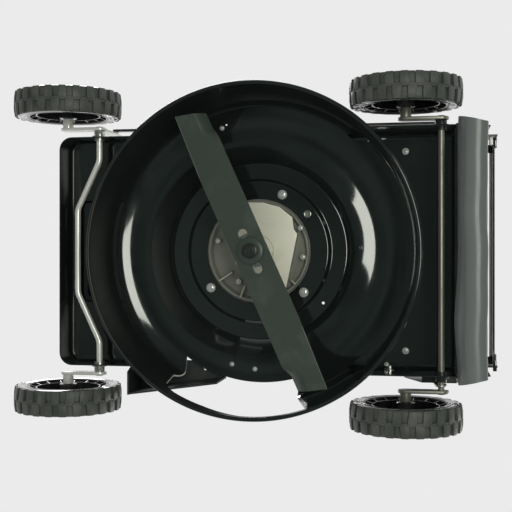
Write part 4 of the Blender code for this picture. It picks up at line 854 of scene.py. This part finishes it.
def buildTyre(name, node, body, x, y):
    h, r = wheel["half"], wheel["radius"]
    base = r - wheel["blockDepth"]
    half = [(0.0660, h - 0.0022), (0.0672, h - 0.0006), (0.0700, h), (0.0716, h - 0.0010),
            (0.0736, h - 0.0012), (0.0750, h - 0.0003), (0.0790, h - 0.0002), (0.0826, h - 0.0012),
            (base - 0.0006, h - 0.0034), (base, h - 0.0060), (base, 0.0034), (r - 0.0016, 0.0026),
            (r - 0.0009, 0.0018)]
    forms = [lathe(half + [(a, -b) for a, b in half[::-1]], 120)]
    for flip, start in ((False, 0.0), (True, math.pi / wheel["blocks"])):
        forms.append(around(treadBlock(flip), treadRubber, wheel["blocks"], r, start))
    obj = finish(placeWheel(gathered(forms, weld=False), x, y), name, treadRubber, node, body, 40)
    centre = Vector((x, y, wheel["height"]))

    def onWall(at, way):
        out = at - centre
        return math.hypot(out.x, out.z) < base - 0.0004 and abs(way.y) > 0.5

    secondFinish(obj, wallRubber, onWall)


def rimProfile():
    h, r, hub, ring = wheel["half"], wheel["rimRadius"], wheel["hubRadius"], wheel["ringRadius"]
    inside, half, ringTop = wheel["spindle"] + 0.0003, wheel["hubLength"] / 2, -h + 0.0045
    return [(inside, half - 0.0006), (inside + 0.0006, half), (hub - 0.001, half), (hub, half - 0.001),
            (hub, 0.006), (hub + 0.002, 0.004), (0.024, 0.0036), (0.027, 0.0052), (0.034, 0.0052),
            (0.037, 0.0036),
            (r - 0.006, 0.0036), (r - 0.0036, 0.006), (r - 0.0022, h - 0.004), (r - 0.0006, h - 0.0022),
            (r + 0.0001, h - 0.0024), (r, h - 0.0040), (r, -h + 0.0040), (r + 0.0001, -h + 0.0024),
            (r - 0.0006, -h + 0.0016), (r - 0.0022, -h + 0.0016), (r - 0.0030, -0.006), (r - 0.0045, 0.0),
            (ring + 0.0014, 0.0006), (ring + 0.0012, ringTop + 0.0003), (ring + 0.0009, ringTop),
            (ring - 0.0009, ringTop), (ring - 0.0012, ringTop + 0.0003), (ring - 0.0014, 0.0006),
            (hub + 0.0015, 0.0), (hub, -0.0015), (hub - 0.0006, -half + 0.001), (hub - 0.0016, -half),
            (inside + 0.0006, -half), (inside, -half + 0.0006)]


def rimFin(outline, half, edge, segments, copies, start=0.0):
    # thin upright plates round the hub, each with this outline
    fin = soften(slab(outline, -half, half, "Y"), edge, segments, 30)
    return around(fin, rimPlastic, copies, 0.0, start)


def buildRim(name, node, body, x, y):
    h, r, hub, ring = wheel["half"], wheel["rimRadius"], wheel["hubRadius"], wheel["ringRadius"]
    turn = wheel["slotAngle"]
    outline = circlePoints((0, 0), wheel["slotInner"], -turn, turn, 6)
    outline += circlePoints((0, 0), wheel["slotOuter"], turn, -turn, 6)
    slot = soften(slab(outline, -0.03, 0.03), 0.0008, 2, 30)
    form = carve(lathe(rimProfile(), 96), around(slot, rimPlastic, wheel["holes"]))
    ribs = rimFin([(ring, 0.0020), (ring, -h + 0.0049), (r - 0.002, -h + 0.0022), (r - 0.002, 0.0020)],
                  0.0009, 0.0003, 1, wheel["ribs"], math.pi / wheel["ribs"])
    webs = rimFin([(hub - 0.002, 0.0020), (hub - 0.002, -0.0110), (0.026, -0.0060), (ring, -0.0080),
                   (ring, 0.0020)], 0.0008, 0.0003, 1, wheel["webs"], 0.2)
    spokes = rimFin([(0.038, 0.002), (0.038, 0.0075), (r - 0.010, 0.0095), (r - 0.003, 0.0100),
                     (r - 0.003, 0.002)], 0.0042, 0.0012, 2, wheel["spokes"])
    form = finish(placeWheel(join(form, ribs, webs, spokes), x, y), name, rimPlastic, node, body)
    centre, inward = Vector((x, y, wheel["height"])), 1 if y < 0 else -1

    def onLips(at, way):
        # painted highlight: the lips of the ring, the ribs and the rim are painted pale grey where highlights
        # fall
        out = at - centre
        reach, depth = math.hypot(out.x, out.z), out.y * inward
        onRing = abs(reach - ring) < 0.0013 and depth > h - 0.0052
        onRib = ring < reach < r - 0.003 and depth > h - 0.006 and abs(way.y) > 0.8
        return onRing or onRib or (reach > r - 0.0026 and depth > h - 0.0030)

    secondFinish(form, paintedRimHighlight, onLips)


def buildWheels():
    for end, x, left, right in wheel["places"]:
        for side, y in (("left", left), ("right", right)):
            body = f"{end}_{side}_wheel"
            buildTyre(f"{end}{side.title()}Tyre", f"{end}_{side}_tyre", body, x, y)
            buildRim(f"{end}{side.title()}Rim", f"{end}_{side}_wheel_rim", body, x, y)


def axleEnd(rodX, side, arm, end):
    # the arm, the spindle with its collar, washer and nut, and the boss on the rod
    z, thick, wheelX = wheel["height"], axle["armThickness"] / 2, rodX - axle["arm"]

    def turned(x, start, stop, radius, sides, bevel=0.0):
        return bar((x, side * start, z), (x, side * stop, z), radius, sides, bevel)

    low, high = sorted((side * (arm - thick), side * (arm + thick)))
    link = soften(slab(linkOutline((rodX, z), (wheelX, z), axle["armRadius"]), low, high, "Y"), 0.0008, 2, 40)
    washerAt = end - axle["nut"]
    forms = [link, turned(wheelX, arm - 0.001, end - 0.0010, wheel["spindle"], 32, 0.001),
             turned(wheelX, arm + 0.001, washerAt - wheel["hubLength"] - 0.0006, axle["collar"], 32, 0.0008),
             turned(wheelX, washerAt, washerAt + axle["washerThickness"], axle["washer"], 32, 0.0004),
             soften(turned(wheelX, washerAt + 0.001, end, axle["nutRadius"], 6), 0.0008, 2, 40),
             turned(rodX, arm - 0.003, arm + thick + 0.0016, axle["boss"], 32, 0.0008)]
    if side < 0:  # the lever arm that the tie rod holds
        top = z + axle["lift"]
        lever = slab(linkOutline((rodX, z), (rodX, top), axle["lever"]), low + 0.0005, high - 0.0005, "Y")
        pin = bar((rodX, low + 0.001, top), (rodX, low - 0.0055, top), axle["pin"], 24, 0.0006)
        forms += [soften(lever, 0.0007, 2, 40), pin]
    return forms


def buildAxle(end, path, rodX, left, right, wheels, material):
    reach = wheel["hubLength"] / 2 + 0.0003 + axle["nut"]
    form = join(tubeAlong(path, axle["rod"], 24), *axleEnd(rodX, -1, left, wheels[0] + reach),
                *axleEnd(rodX, 1, right, wheels[1] + reach))
    finish(form, f"{end}AxleRod", material, f"{end}_axle", f"{end}_axle_body", 40)


def buildAxles():
    a, z, x, rearX = axle["frontArm"], wheel["height"], axle["frontX"], axle["rearX"]
    setX = x - axle["bend"]
    one, two = axle["crankOuter"], axle["crankInner"]
    path = [(x, -a, z), (x, -one, z), (setX, -two, z), (setX, two, z), (x, one, z), (x, a, z)]
    front, rear = [(-left, right) for end, place, left, right in wheel["places"]]
    buildAxle("front", rounded(path, [axle["bendRadius"]] * 4, 10), x, a, a, front, polishedZinc)
    left, right = axle["rearLeft"], axle["rearRight"]
    path = [Vector((rearX, -left, z)), Vector((rearX, right, z))]
    buildAxle("rear", path, rearX, left, right, rear, dullZinc)


bush = {
    "bore": 0.0053, "sleeve": 0.0090, "flange": 0.0130, "flangeThickness": 0.0025,
    # end, x, where the sleeve ends inside, the flange's inner face, finish
    "places": (("front", axle["frontX"], 0.184, 0.1893, zincPlate),
               ("rear", axle["rearX"], 0.189, 0.1953, satinBlack)),
}


def buildBushes():
    bore, outside, flange, thick = bush["bore"], bush["sleeve"], bush["flange"], bush["flangeThickness"]
    for end, x, sleeve, face, paint in bush["places"]:
        for side in ("left", "right"):
            node = f"{end}_bush_{side}"
            low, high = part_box(node)
            outer = max(abs(low.y - crank.y), abs(high.y - crank.y))
            profile = [(bore, outer), (outside - 0.0004, outer), (outside, outer - 0.0005),
                       (outside, face + thick + 0.0005), (outside + 0.0005, face + thick),
                       (flange - 0.0004, face + thick), (flange, face + thick - 0.0005), (flange, face),
                       (outside, face), (outside, sleeve), (bore, sleeve)]
            form = lathe(profile, 40, axis="Y")
            if side == "left":
                form.data.transform(Matrix.Rotation(math.pi, 4, "X"))
            form.data.transform(Matrix.Translation((x, 0, wheel["height"])))
            finish(form, f"{end}{side.title()}Bush", paint, node, smooth=40)


buildWheels()
buildAxles()
buildBushes()
print("wheels and axles ready")


blade = {
    "length": 0.493, "width": 0.056, "taper": 0.004, "heelTrim": 0.014, "thickness": 0.004, "height": 0.048,
    "angle": 65.9, "wingLength": 0.062, "wingRamp": 0.027, "wingLift": 0.014, "wingTuck": 0.0055,
    "crease": 0.004, "edgeLength": 0.110, "edgeGrind": 0.0050, "holeOffset": 0.030, "bore": 0.0053,
    "roundHole": 0.0073, "slot": 0.0062, "slotSpread": 0.0018, "columns": 140, "rows": 28, "edgeSteps": 40,
    "lip": 0.0011, "lipTop": 0.0001, "lipFoot": 0.0006, "drillDown": 0.02, "drillUp": 0.03,
    "stripAcross": (-0.998, -0.955), "stripLift": (-0.00012, 0.0002), "stripStart": 0.004,
    "stripShort": 0.006,
}


def smoothStep(value):
    value = min(1.0, max(0.0, value))
    return value * value * (3 - 2 * value)


def bladePoint(along, across, upper):
    # across runs from the cutting edge, -1, to the trailing edge, +1
    b = blade
    half, wide = b["length"] / 2, b["width"] / 2
    reach = abs(along)
    side = math.copysign(1, along)
    y = across * wide
    z = b["height"] + (b["thickness"] if upper else 0.0)
    rise = smoothStep((reach - (half - b["wingLength"])) / b["wingRamp"])
    beyond = max(0.0, y - b["crease"]) / (wide - b["crease"])
    z += b["wingLift"] * rise * smoothStep(beyond * 0.5) * 2
    y -= b["wingTuck"] * rise * beyond
    cut = max(0.0, (reach - (half - b["edgeLength"])) / b["edgeLength"])
    y += b["taper"] * cut * max(0.0, -across)
    ground = smoothStep((reach - (half - b["edgeLength"])) / 0.008)
    bevel = max(0.0, b["edgeGrind"] / wide - (1 + across)) * wide / b["edgeGrind"]
    if upper:
        z -= (b["thickness"] - 0.0005) * bevel * ground
    heel = b["heelTrim"] * (across + 1) / 2 * smoothStep((reach - half + 0.05) / 0.05)
    return (along - side * heel, side * y, z)


def bladeSheet():
    b = blade
    bm = bmesh.new()
    grids = []
    for upper in (False, True):
        grid = []
        for i in range(b["columns"] + 1):
            along = b["length"] * (i / b["columns"] - 0.5)
            side = 1 if i * 2 >= b["columns"] else -1
            grid.append([bm.verts.new(bladePoint(along, side * (2 * k / b["rows"] - 1), upper))
                         for k in range(b["rows"] + 1)])
        grids.append(grid)
    return thickSheet(bm, *grids)


def edgeStrip(side):
    # the ground strip along one cutting edge, just under the blade
    b = blade
    bm = bmesh.new()
    grids = ([], [])
    start = b["length"] / 2 - b["edgeLength"] + b["stripStart"]
    for i in range(b["edgeSteps"] + 1):
        along = side * (start + (b["edgeLength"] - b["stripShort"]) * i / b["edgeSteps"])
        corners = [bladePoint(along, across, False) for across in b["stripAcross"]]
        for grid, lift in zip(grids, b["stripLift"]):
            grid.append([bm.verts.new((x, y, z + lift)) for x, y, z in corners])
    return thickSheet(bm, *grids)


def buildBlade():
    b = blade
    z, turn = b["height"], Matrix.Rotation(math.radians(b["angle"]), 4, "Z")
    hole = onCircle(-b["holeOffset"], b["angle"])
    ends = [onCircle(b["holeOffset"] + d, b["angle"]) for d in (-b["slotSpread"], b["slotSpread"])]
    form = bladeSheet()
    form.data.transform(turn)
    below, above = z - b["drillDown"], z + b["drillUp"]
    form = carve(form, upright(b["bore"], below, above, sides=32),
                 upright(b["roundHole"], below, above, hole, 40),
                 slab(linkOutline(*ends, b["slot"]), below, above))
    finish(form, "mowerBlade", bladeSteel, "blade", "cutter", 24)
    # bright lips where the holes were punched
    one, two, top, foot = b["roundHole"], b["roundHole"] + b["lip"], z - b["lipTop"], z - b["lipFoot"]
    lips = lathe([(one, top), (two, top), (two - 0.0002, foot), (one + 0.0002, foot)], 40, at=(*hole, 0))
    slotLips = carve(slab(linkOutline(*ends, b["slot"] + b["lip"]), foot, top),
                     slab(linkOutline(*ends, b["slot"]), foot - 0.0001, top + 0.0002))
    finish(gathered([lips, slotLips]), "bladeHoleLips", bareSteel, body="cutter")
    for side, label in ((-1, "Left"), (1, "Right")):
        strip = edgeStrip(side)
        strip.data.transform(turn)
        finish(strip, "bladeEdge" + label, bareSteel, body="cutter", smooth=30)


stack = {
    "gap": 0.0003, "washer": 0.0220, "washerThickness": 0.0034, "head": 0.0100, "headHeight": 0.0105,
    "shank": 0.0050, "shankTop": 0.078, "shaft": 0.0130, "hub": 0.0200, "hubFoot": 0.0280, "hubTop": 0.0980,
}


def buildCutterStack():
    s, bore = stack, blade["bore"]
    under, size, thick = blade["height"] - s["gap"], s["washer"], s["washerThickness"]
    washer = lathe([(bore, under), (size - 0.0005, under), (size, under - 0.0005),
                    (size - 0.0002, under - 0.0016), (size - 0.0020, under - 0.0030),
                    (size - 0.0070, under - thick), (bore, under - thick)], 96)
    finish(washer, "bladeWasher", bladeSteel, "blade_washer", "cutter", slot="satin_black_paint")
    top = under - thick - s["gap"]
    head = soften(upright(s["head"], top - 0.001 - s["headHeight"], top - 0.001, sides=6), 0.0009, 3, 40)
    dish = lathe([(0, top - 0.0100), (0.0052, top - 0.0104), (0.0066, top - 0.0116), (0, top - 0.0116)], 40)
    flange = lathe([(0, top - 0.0025), (0.0100, top - 0.0025), (0.0122, top - 0.0012), (0.0124, top),
                    (0, top)], 48)
    shank = bar((0, 0, top - 0.001), (0, 0, s["shankTop"]), s["shank"], 24, 0.0006)
    finish(join(carve(head, dish), flange, shank), "bladeBolt", boltSteel, "blade_bolt", "cutter")
    low, top = blade["height"] + blade["thickness"] + s["gap"], s["hubTop"]
    inside, neck, foot = s["shaft"], s["hub"], s["hubFoot"]
    hub = lathe([(inside, top), (neck - 0.0008, top), (neck, top - 0.0008), (neck, low + 0.0075),
                 (neck + 0.0015, low + 0.0060), (foot - 0.0006, low + 0.0060), (foot, low + 0.0054),
                 (foot, low + 0.0006), (foot - 0.0006, low), (bore, low), (bore, low + 0.005),
                 (inside, low + 0.005)], 72)
    finish(hub, "bladeHub", bareSteel, "blade_adapter", "cutter")


buildBlade()
buildCutterStack()
print("cutter ready")


# heads: radius, height, ring's radius and thickness. nuts: place, radius and ring's radius, under the deck
engine = {
    "sumpRound": 0.0013, "screwFace": 0.118, "screwHead": (0.0030, 0.0030, 0.0043, 0.0009),
    "screws": ((0.0712, -0.0380), (0.0755, 0.0098), (-0.0671, -0.0174), (-0.0324, 0.0503)),
    "boltHead": (0.0062, 0.0058, 0.0078, 0.0014), "boltShank": 0.0039, "boltTop": 0.1445,
    "studHead": (0.0036, 0.0075, 0.0066, 0.0012), "stud": (0.2165, 0.125),
    "nutHeight": 0.0032, "nutRing": 0.0010, "lookFrom": 0.02,
    "nuts": ((0.2410, -0.164, 0.0034, 0.0056), (0.2410, 0.164, 0.0034, 0.0056),
             (-0.0503, 0.1914, 0.0024, 0.0040), (-0.0106, 0.1990, 0.0024, 0.0040),
             (-0.0670, -0.2090, 0.0026, 0.0042), (0.2100, 0.1870, 0.0024, 0.0040)),
}


def boltForm(radius, height, flange, flangeHeight):
    # a hexagon head standing on z = 0, with a thin washer under it
    head = soften(upright(radius, 0, height, sides=6), radius * 0.14, 2, 40)
    ring = lathe([(0, 0), (flange, 0), (flange, flangeHeight * 0.6),
                  (flange - flangeHeight * 0.5, flangeHeight), (0, flangeHeight)], 40)
    dish = lathe([(0, height), (radius * 0.50, height), (radius * 0.44, height + 0.00035),
                  (0, height + 0.00045)], 24)
    return gathered([head, ring, dish])


def underneath(x, y):
    # the place and facing of the deck's underside over a point
    shell = bpy.data.objects["deckShell"]
    hit, place, facing, _ = shell.ray_cast(Vector((x, y, engine["lookFrom"])) + crank, Vector((0, 0, 1)))
    if not hit:
        raise ValueError(f"nothing over {x}, {y}")
    return place - crank, facing


def buildEngineFoot():
    e, face = engine, engine["screwFace"] - 0.0001
    finish(refined("engine_sump", e["sumpRound"], 4, 30), "engineFoot", footAlloy, "engine_sump", smooth=40)
    screws = []
    for i, place in enumerate(e["screws"]):
        screws.append(turnTo(boltForm(*e["screwHead"]), (*place, face), (0, 0, -1), 17 * i))
    finish(gathered(screws), "footScrews", brightZinc)


def buildEngineBolts():
    e, top = engine, deck["plateHeight"] - 0.0003
    for i, angle in enumerate(deck["boltAngles"]):
        at = onCircle(deck["boltCircle"], angle)
        head = turnTo(boltForm(*e["boltHead"]), (*at, top), (0, 0, -1), 25 * i + 10)
        bolt = gathered([head, upright(e["boltShank"], top - 0.001, e["boltTop"], at, 24)])
        finish(bolt, f"engineBolt{'ABC'[i]}", brightZinc, f"engine_bolt_{i + 1}")
    ring = lathe([(0.0042, -0.0001), (0.0060, -0.0001), (0.0060, -0.0005), (0.0050, -0.0008),
                  (0.0042, -0.0005)], 40)
    spare = onCircle(deck["boltCircle"], deck["spareAngle"])
    finish(turnTo(ring, (*spare, deck["plateHeight"])), "spareHoleLip", bareSteel, smooth=40)


def buildFasteners():
    nuts = []
    for x, y, head, ring in engine["nuts"]:
        place, facing = underneath(x, y)
        nut = boltForm(head, engine["nutHeight"], ring, engine["nutRing"])
        nuts.append(turnTo(nut, place + facing * 0.00005, facing, 11))
    finish(gathered(nuts), "deckNuts", brightZinc)
    # the quadrant's stud through the tunnel's side
    side = deck["tunnelHalf"] - deck["sheet"] - 0.00005
    stud = turnTo(boltForm(*engine["studHead"]), (engine["stud"][0], side, engine["stud"][1]), (0, -1, 0), 20)
    finish(stud, "tunnelStud", zincPlate)


buildEngineFoot()
buildEngineBolts()
buildFasteners()
print("engine foot and fasteners ready")


tail = {
    "flapAxis": (0.322, 0.074), "roll": 0.0048, "rollBore": 0.0033, "innerHalf": 0.190, "half": 0.2053,
    "footHalf": 0.193, "wall": 0.003, "lowest": 0.0232, "rows": 150, "steps": 46, "rod": 0.003,
    "line": ((-0.0004, -0.003), (-0.0008, -0.0165), (0.003, -0.031), (0.011, -0.0440), (0.0215, -0.0478),
             (0.0325, -0.0468), (0.0405, -0.0508)),
    "bends": (0.010, 0.014, 0.014, 0.030, 0.010),
    "ridgeAt": 0.056, "ridge": 0.0005, "ridgeWidth": 0.0080, "sway": 0.0011,
    "bulge": 0.0050, "bulgeAt": 0.105, "bulgeWidth": 0.055, "widensAt": 0.0135, "narrowsFrom": 0.016,
    "doorAxis": (0.378, 0.166), "doorLeft": -0.173, "doorRight": 0.184, "doorFoot": 0.062, "doorLean": 0.0076,
    "doorRod": 0.0029, "doorRodHalf": 0.190, "knuckles": ((-0.173, -0.160), (0.172, 0.184)),
    "tabLength": 0.016, "tabHeight": 0.003, "doorFace": 0.0035, "knuckle": 0.0050, "doorSheet": 0.002,
}


def flapSection():
    # even steps along the flap's side view, and how far apart they are
    x, z = tail["flapAxis"]
    line = rounded([(x + a, z + b) for a, b in tail["line"]], tail["bends"], 6)
    reach = [0.0]
    for one, two in zip(line, line[1:]):
        reach.append(reach[-1] + (two - one).length)
    section = []
    for k in range(tail["steps"] + 1):
        goal = reach[-1] * k / tail["steps"]
        i = min(max(j for j in range(len(reach)) if reach[j] <= goal + 1e-9), len(reach) - 2)
        section.append(line[i].lerp(line[i + 1], (goal - reach[i]) / (reach[i + 1] - reach[i])))
    return section, reach[-1]


def flapPoint(section, total, k, u):
    # one point of the worn rubber's front and rear face: step k down, share u of its half width across
    t = tail
    goal = total * k / t["steps"]
    ahead = section[min(k + 1, t["steps"])] - section[max(k - 1, 0)]
    facing = Vector((-ahead.y, ahead.x)).normalized()
    if facing.y > 0 or (abs(facing.y) < 0.3 and facing.x > 0):
        facing = -facing
    wide = smoothStep((goal - t["widensAt"]) / 0.0022)
    narrow = max(0.0, (goal - t["narrowsFrom"]) / (total - t["narrowsFrom"])) ** 1.4
    half = t["innerHalf"] + (t["half"] - t["innerHalf"]) * wide - (t["half"] - t["footHalf"]) * narrow
    y = u * half
    bulge = -t["bulge"] * math.exp(-((y - t["bulgeAt"]) / t["bulgeWidth"]) ** 2)
    sway = t["sway"] * (math.sin(y * 31 + 0.6) + 0.6 * math.sin(y * 67 + 2.1))
    loose = smoothStep((goal - 0.004) / 0.03)
    early = smoothStep((goal - 0.002) / 0.010) * (1 - smoothStep((goal - 0.020) / 0.020))
    ridge = t["ridge"] * math.exp(-((goal - t["ridgeAt"]) / t["ridgeWidth"]) ** 2)
    place = section[k] + Vector((bulge * early + sway * loose * 0.8, -0.0002 * loose)) + facing * ridge
    place.y = max(place.y, t["lowest"])
    back = place - facing * t["wall"]
    return (place.x, y, place.y), (back.x, y, back.y)


def sleeve(outer, low, high, place):
    bore = tail["rollBore"]
    return lathe([(bore, low), (outer, low), (outer, high), (bore, high)], 32, "Y", (place[0], 0, place[1]))


def hingeRod(name, node, material, place, half, radius):
    rod = bar((place[0], -half, place[1]), (place[0], half, place[1]), radius, 32, 0.0005)
    finish(rod, name, material, node)


def buildTrailingFlap():
    t = tail
    section, total = flapSection()
    bm = bmesh.new()
    grids = ([], [])
    for r in range(t["rows"] + 1):
        pairs = [flapPoint(section, total, k, 2 * r / t["rows"] - 1) for k in range(t["steps"] + 1)]
        for grid, row in zip(grids, zip(*pairs)):
            grid.append([bm.verts.new(place) for place in row])
    roll = sleeve(t["roll"], -t["innerHalf"], t["innerHalf"], t["flapAxis"])
    form = finish(gathered([thickSheet(bm, *grids), roll]), "trailingFlapSheet", flapRubber, "tail_flap",
                  "trailing_flap", 40)
    secondFinish(form, satinBlack, lambda at, way: at.z > t["flapAxis"][1] - 0.006)
    reach = deck["tunnelHalf"] + 0.0025
    hingeRod("trailingFlapRod", "tail_flap_rod", zincPlate, t["flapAxis"], reach, t["rod"])


def buildRearDoor():
    t = tail
    x, z = t["doorAxis"]
    left, right, foot = t["doorLeft"], t["doorRight"], t["doorFoot"]
    low, top = x - t["doorFace"], x - t["doorFace"] + t["doorLean"]
    front = rounded([(low, foot), (low + 0.0002, 0.075), (top - 0.0004, 0.150), (top, z - 0.006),
                     (x + 0.0030, z + 0.0003)], (0.01, 0.01, 0.004), 5)
    back = max(beside(front, -t["doorSheet"]), beside(front, t["doorSheet"]), key=lambda line: line[0].x)
    forms = [slab(front + back[::-1], left, right, "Y")]
    forms += [sleeve(t["knuckle"], one, two, t["doorAxis"]) for one, two in t["knuckles"]]
    for one, two in ((left, left + t["tabLength"]), (right - t["tabLength"], right)):
        tab = block((low + 0.0002, x + 0.0018), (one, two), (foot, foot + t["tabHeight"]))
        forms.append(soften(tab, 0.0007, 2))
    finish(gathered(forms), "tunnelDoor", doorEnamel, "rear_door", "tail_door")
    # painted light: the hinge rod is painted near white where the backdrop shows bright through the gap
    hingeRod("doorHingeRod", "door_rod", paintedBrightRod, t["doorAxis"], t["doorRodHalf"], t["doorRod"])


buildTrailingFlap()
buildRearDoor()
print("trailing flap and door ready")


hood = {"front": -0.214, "foot": 0.085, "outside": 0.23, "corner": 0.010}


def buildHood():
    h = hood
    form = soften(refined("side_flap"), h["corner"], 6, 30, choose=lambda at, way: at.x < h["front"] + 0.001
                  and at.z < h["foot"] + 0.001 and abs(way.x) > 0.9 and at.y > h["outside"])
    finish(soften(form, 0.0011, 2, 34), "dischargeHood", hoodPlastic, "side_flap", "side_hood", 12)
    finish(refined("side_flap_bracket", 0.0005), "hoodBracket", satinBlack, "side_flap_bracket", smooth=30)


buildHood()
print("discharge hood ready")


# what is dressed from its CAD form: node, piece, radius of its edges, finish, and a body that moves
upper = (
    ("engine_block", "engineBlock", 0.0008, castAlloy),
    ("cylinder_head", "cylinderHead", 0.0007, castAlloy),
    ("rocker_cover", "valveCover", 0.0010, satinBlack),
    ("blower_shroud", "fanHousing", 0.0007, coverPlastic),
    ("recoil_cover", "starterCover", 0.0006, coverPlastic),
    ("fuel_tank", "fuelTank", 0.0010, coverPlastic),
    ("muffler", "silencer", 0.0010, warmSteel),
    ("air_filter_box", "airFilterBox", 0.0010, coverPlastic),
    ("carburettor", "carburettorBody", 0.0007, castAlloy),
    ("oil_filler_tube", "fillerTube", 0.0006, satinBlack),
    ("height_quadrant", "heightQuadrant", 0.0005, satinBlack),
    ("height_lever", "heightLever", 0.0006, zincPlate, "rear_axle_body"),
    ("height_lever_grip", "heightLeverGrip", 0.0016, coverPlastic, "rear_axle_body"),
    ("tie_rod", "tieRod", 0.0005, satinBlack, "tie_rod_body"),
    ("handle_bracket_left", "handleBracketLeft", 0.0006, satinBlack),
    ("handle_bracket_right", "handleBracketRight", 0.0006, satinBlack),
    ("handle_knob_left", "knobLeft", 0.0014, coverPlastic, "knob_left"),
    ("handle_knob_right", "knobRight", 0.0014, coverPlastic, "knob_right"),
    ("starter_grip", "starterGrip", 0.0010, coverPlastic, "starter_pull_grip"),
    ("oil_dipstick", "dipstickKnob", 0.0006, coverPlastic, "dipstick"),
    ("flywheel", "flywheelFan", 0.0004, castAlloy, "cutter"),
    ("spark_plug", "sparkPlug", 0.0004, plugCeramic),
)
upperFine = 0.0012  # wider edges than this get three segments
fuelCap = {"place": (0.1386, 0.050, 0.2923), "radius": 0.0215, "height": 0.0150, "ribs": 24}


def buildUpper():
    for node, name, width, paint, *body in upper:
        form = refined(node, width, 3 if width > upperFine else 2)
        finish(form, name, paint, node, *body, smooth=32)


def buildFuelCap():
    size, tall = fuelCap["radius"], fuelCap["height"]
    cap = lathe([(0, 0), (size - 0.0008, 0), (size, 0.0008), (size, tall - 0.0045),
                 (size - 0.0012, tall - 0.0016), (size - 0.0042, tall), (size - 0.0065, tall),
                 (size - 0.0075, tall - 0.0010), (0, tall - 0.0010)], 96)
    rib = soften(block((-0.0011, 0.0011), (-0.0011, 0.0011), (0.0012, tall - 0.0042)), 0.0005, 2)
    cap = gathered([cap, around(rib, coverPlastic, fuelCap["ribs"], size - 0.0007)])
    finish(turnTo(cap, fuelCap["place"]), "fuelCap", coverPlastic, "fuel_cap", "fuel_cap_body", 30)


buildUpper()
buildFuelCap()
print("engine and upper works ready")


handle = {
    "pivot": (0.340, 0.178), "half": 0.174, "upperHalf": 0.198, "tube": 0.011, "bore": 0.0043, "bend": 0.050,
    "lowerAngle": 156.0, "lowerReach": 0.500, "lowerLength": 0.558, "upperAngle": 4.0, "upperLength": 0.484,
    "grip": 0.0155, "gripHalf": 0.125, "gripRings": 50, "bailReach": 0.400, "bailLength": 0.098,
    "bailAngle": 37.0, "bailTube": 0.004, "bailFoot": 0.010, "bailBend": 0.009,
    "lowerStub": 0.012, "upperStub": 0.014, "drillHalf": 0.27,
}


def toward(angle):
    a, b = onCircle(1, angle)
    return Vector((a, 0, b))


def hoop(start, end, half):
    # a tube up one side, across and down the other
    aside = Vector((0, half, 0))
    path = rounded([start - aside, end - aside, end + aside, start + aside], [handle["bend"]] * 2, 12)
    return tubeAlong(path, handle["tube"], 28)


def buildGrip(place):
    # a foam sleeve with moulded rings
    h = handle
    inside, long, steps = h["tube"] + 0.0003, h["gripHalf"], h["gripRings"] * 4
    outline = [(inside, -long)]
    for k in range(steps + 1):
        y = long * (2 * k / steps - 1)
        ease = math.sqrt(min(1.0, max(0.0, (long - abs(y)) / 0.004)))
        outline.append((h["grip"] - 0.0023 + 0.0018 * ease + 0.0004 * math.cos(math.tau * k / 4), y))
    grip = lathe(outline + [(inside, long)], 40, "Y", place)
    finish(grip, "gripSleeve", gripFoam, "handle_grip", "handle_upper", 60)


def buildHandle():
    h = handle
    pivot = Vector((h["pivot"][0], 0, h["pivot"][1]))
    along, back = toward(h["lowerAngle"]), toward(h["upperAngle"])
    knee = pivot + along * h["lowerReach"]
    crossbar = knee + back * h["upperLength"]
    lower = hoop(pivot - along * h["lowerStub"], pivot + along * h["lowerLength"], h["half"])
    lower = carve(lower, *[crossways(h["bore"], (at.x, at.z), h["drillHalf"], 20) for at in (pivot, knee)])
    finish(lower, "lowerHandleTube", handlePaint, "lower_handle", "handle_lower")
    tube = hoop(knee - back * h["upperStub"], crossbar, h["upperHalf"])
    tube = carve(tube, crossways(h["bore"], (knee.x, knee.z), h["drillHalf"], 20))
    finish(tube, "upperHandleTube", handlePaint, "upper_handle", "handle_upper")
    buildGrip(crossbar)
    hinge = knee + back * h["bailReach"]
    tip = hinge + toward(h["upperAngle"] + h["bailAngle"]) * h["bailLength"]
    inside = h["upperHalf"] - h["tube"] - 0.0003
    end, arm = Vector((0, inside, 0)), Vector((0, inside - h["bailFoot"], 0))
    path = [hinge - end, hinge - arm, tip - arm, tip + arm, hinge + arm, hinge + end]
    bail = tubeAlong(rounded(path, [h["bailBend"]] * 4, 8), h["bailTube"])
    finish(bail, "stopBail", zincPlate, "bail_lever", "bail")


buildHandle()
print("handle ready")


# the two nodes that are carried over as they are
for name, material in (("crankshaft", bareSteel), ("primer_bulb", flapRubber)):
    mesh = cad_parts[name].data
    mesh.materials.clear()
    mesh.materials.append(material)
print("carried-over nodes painted")
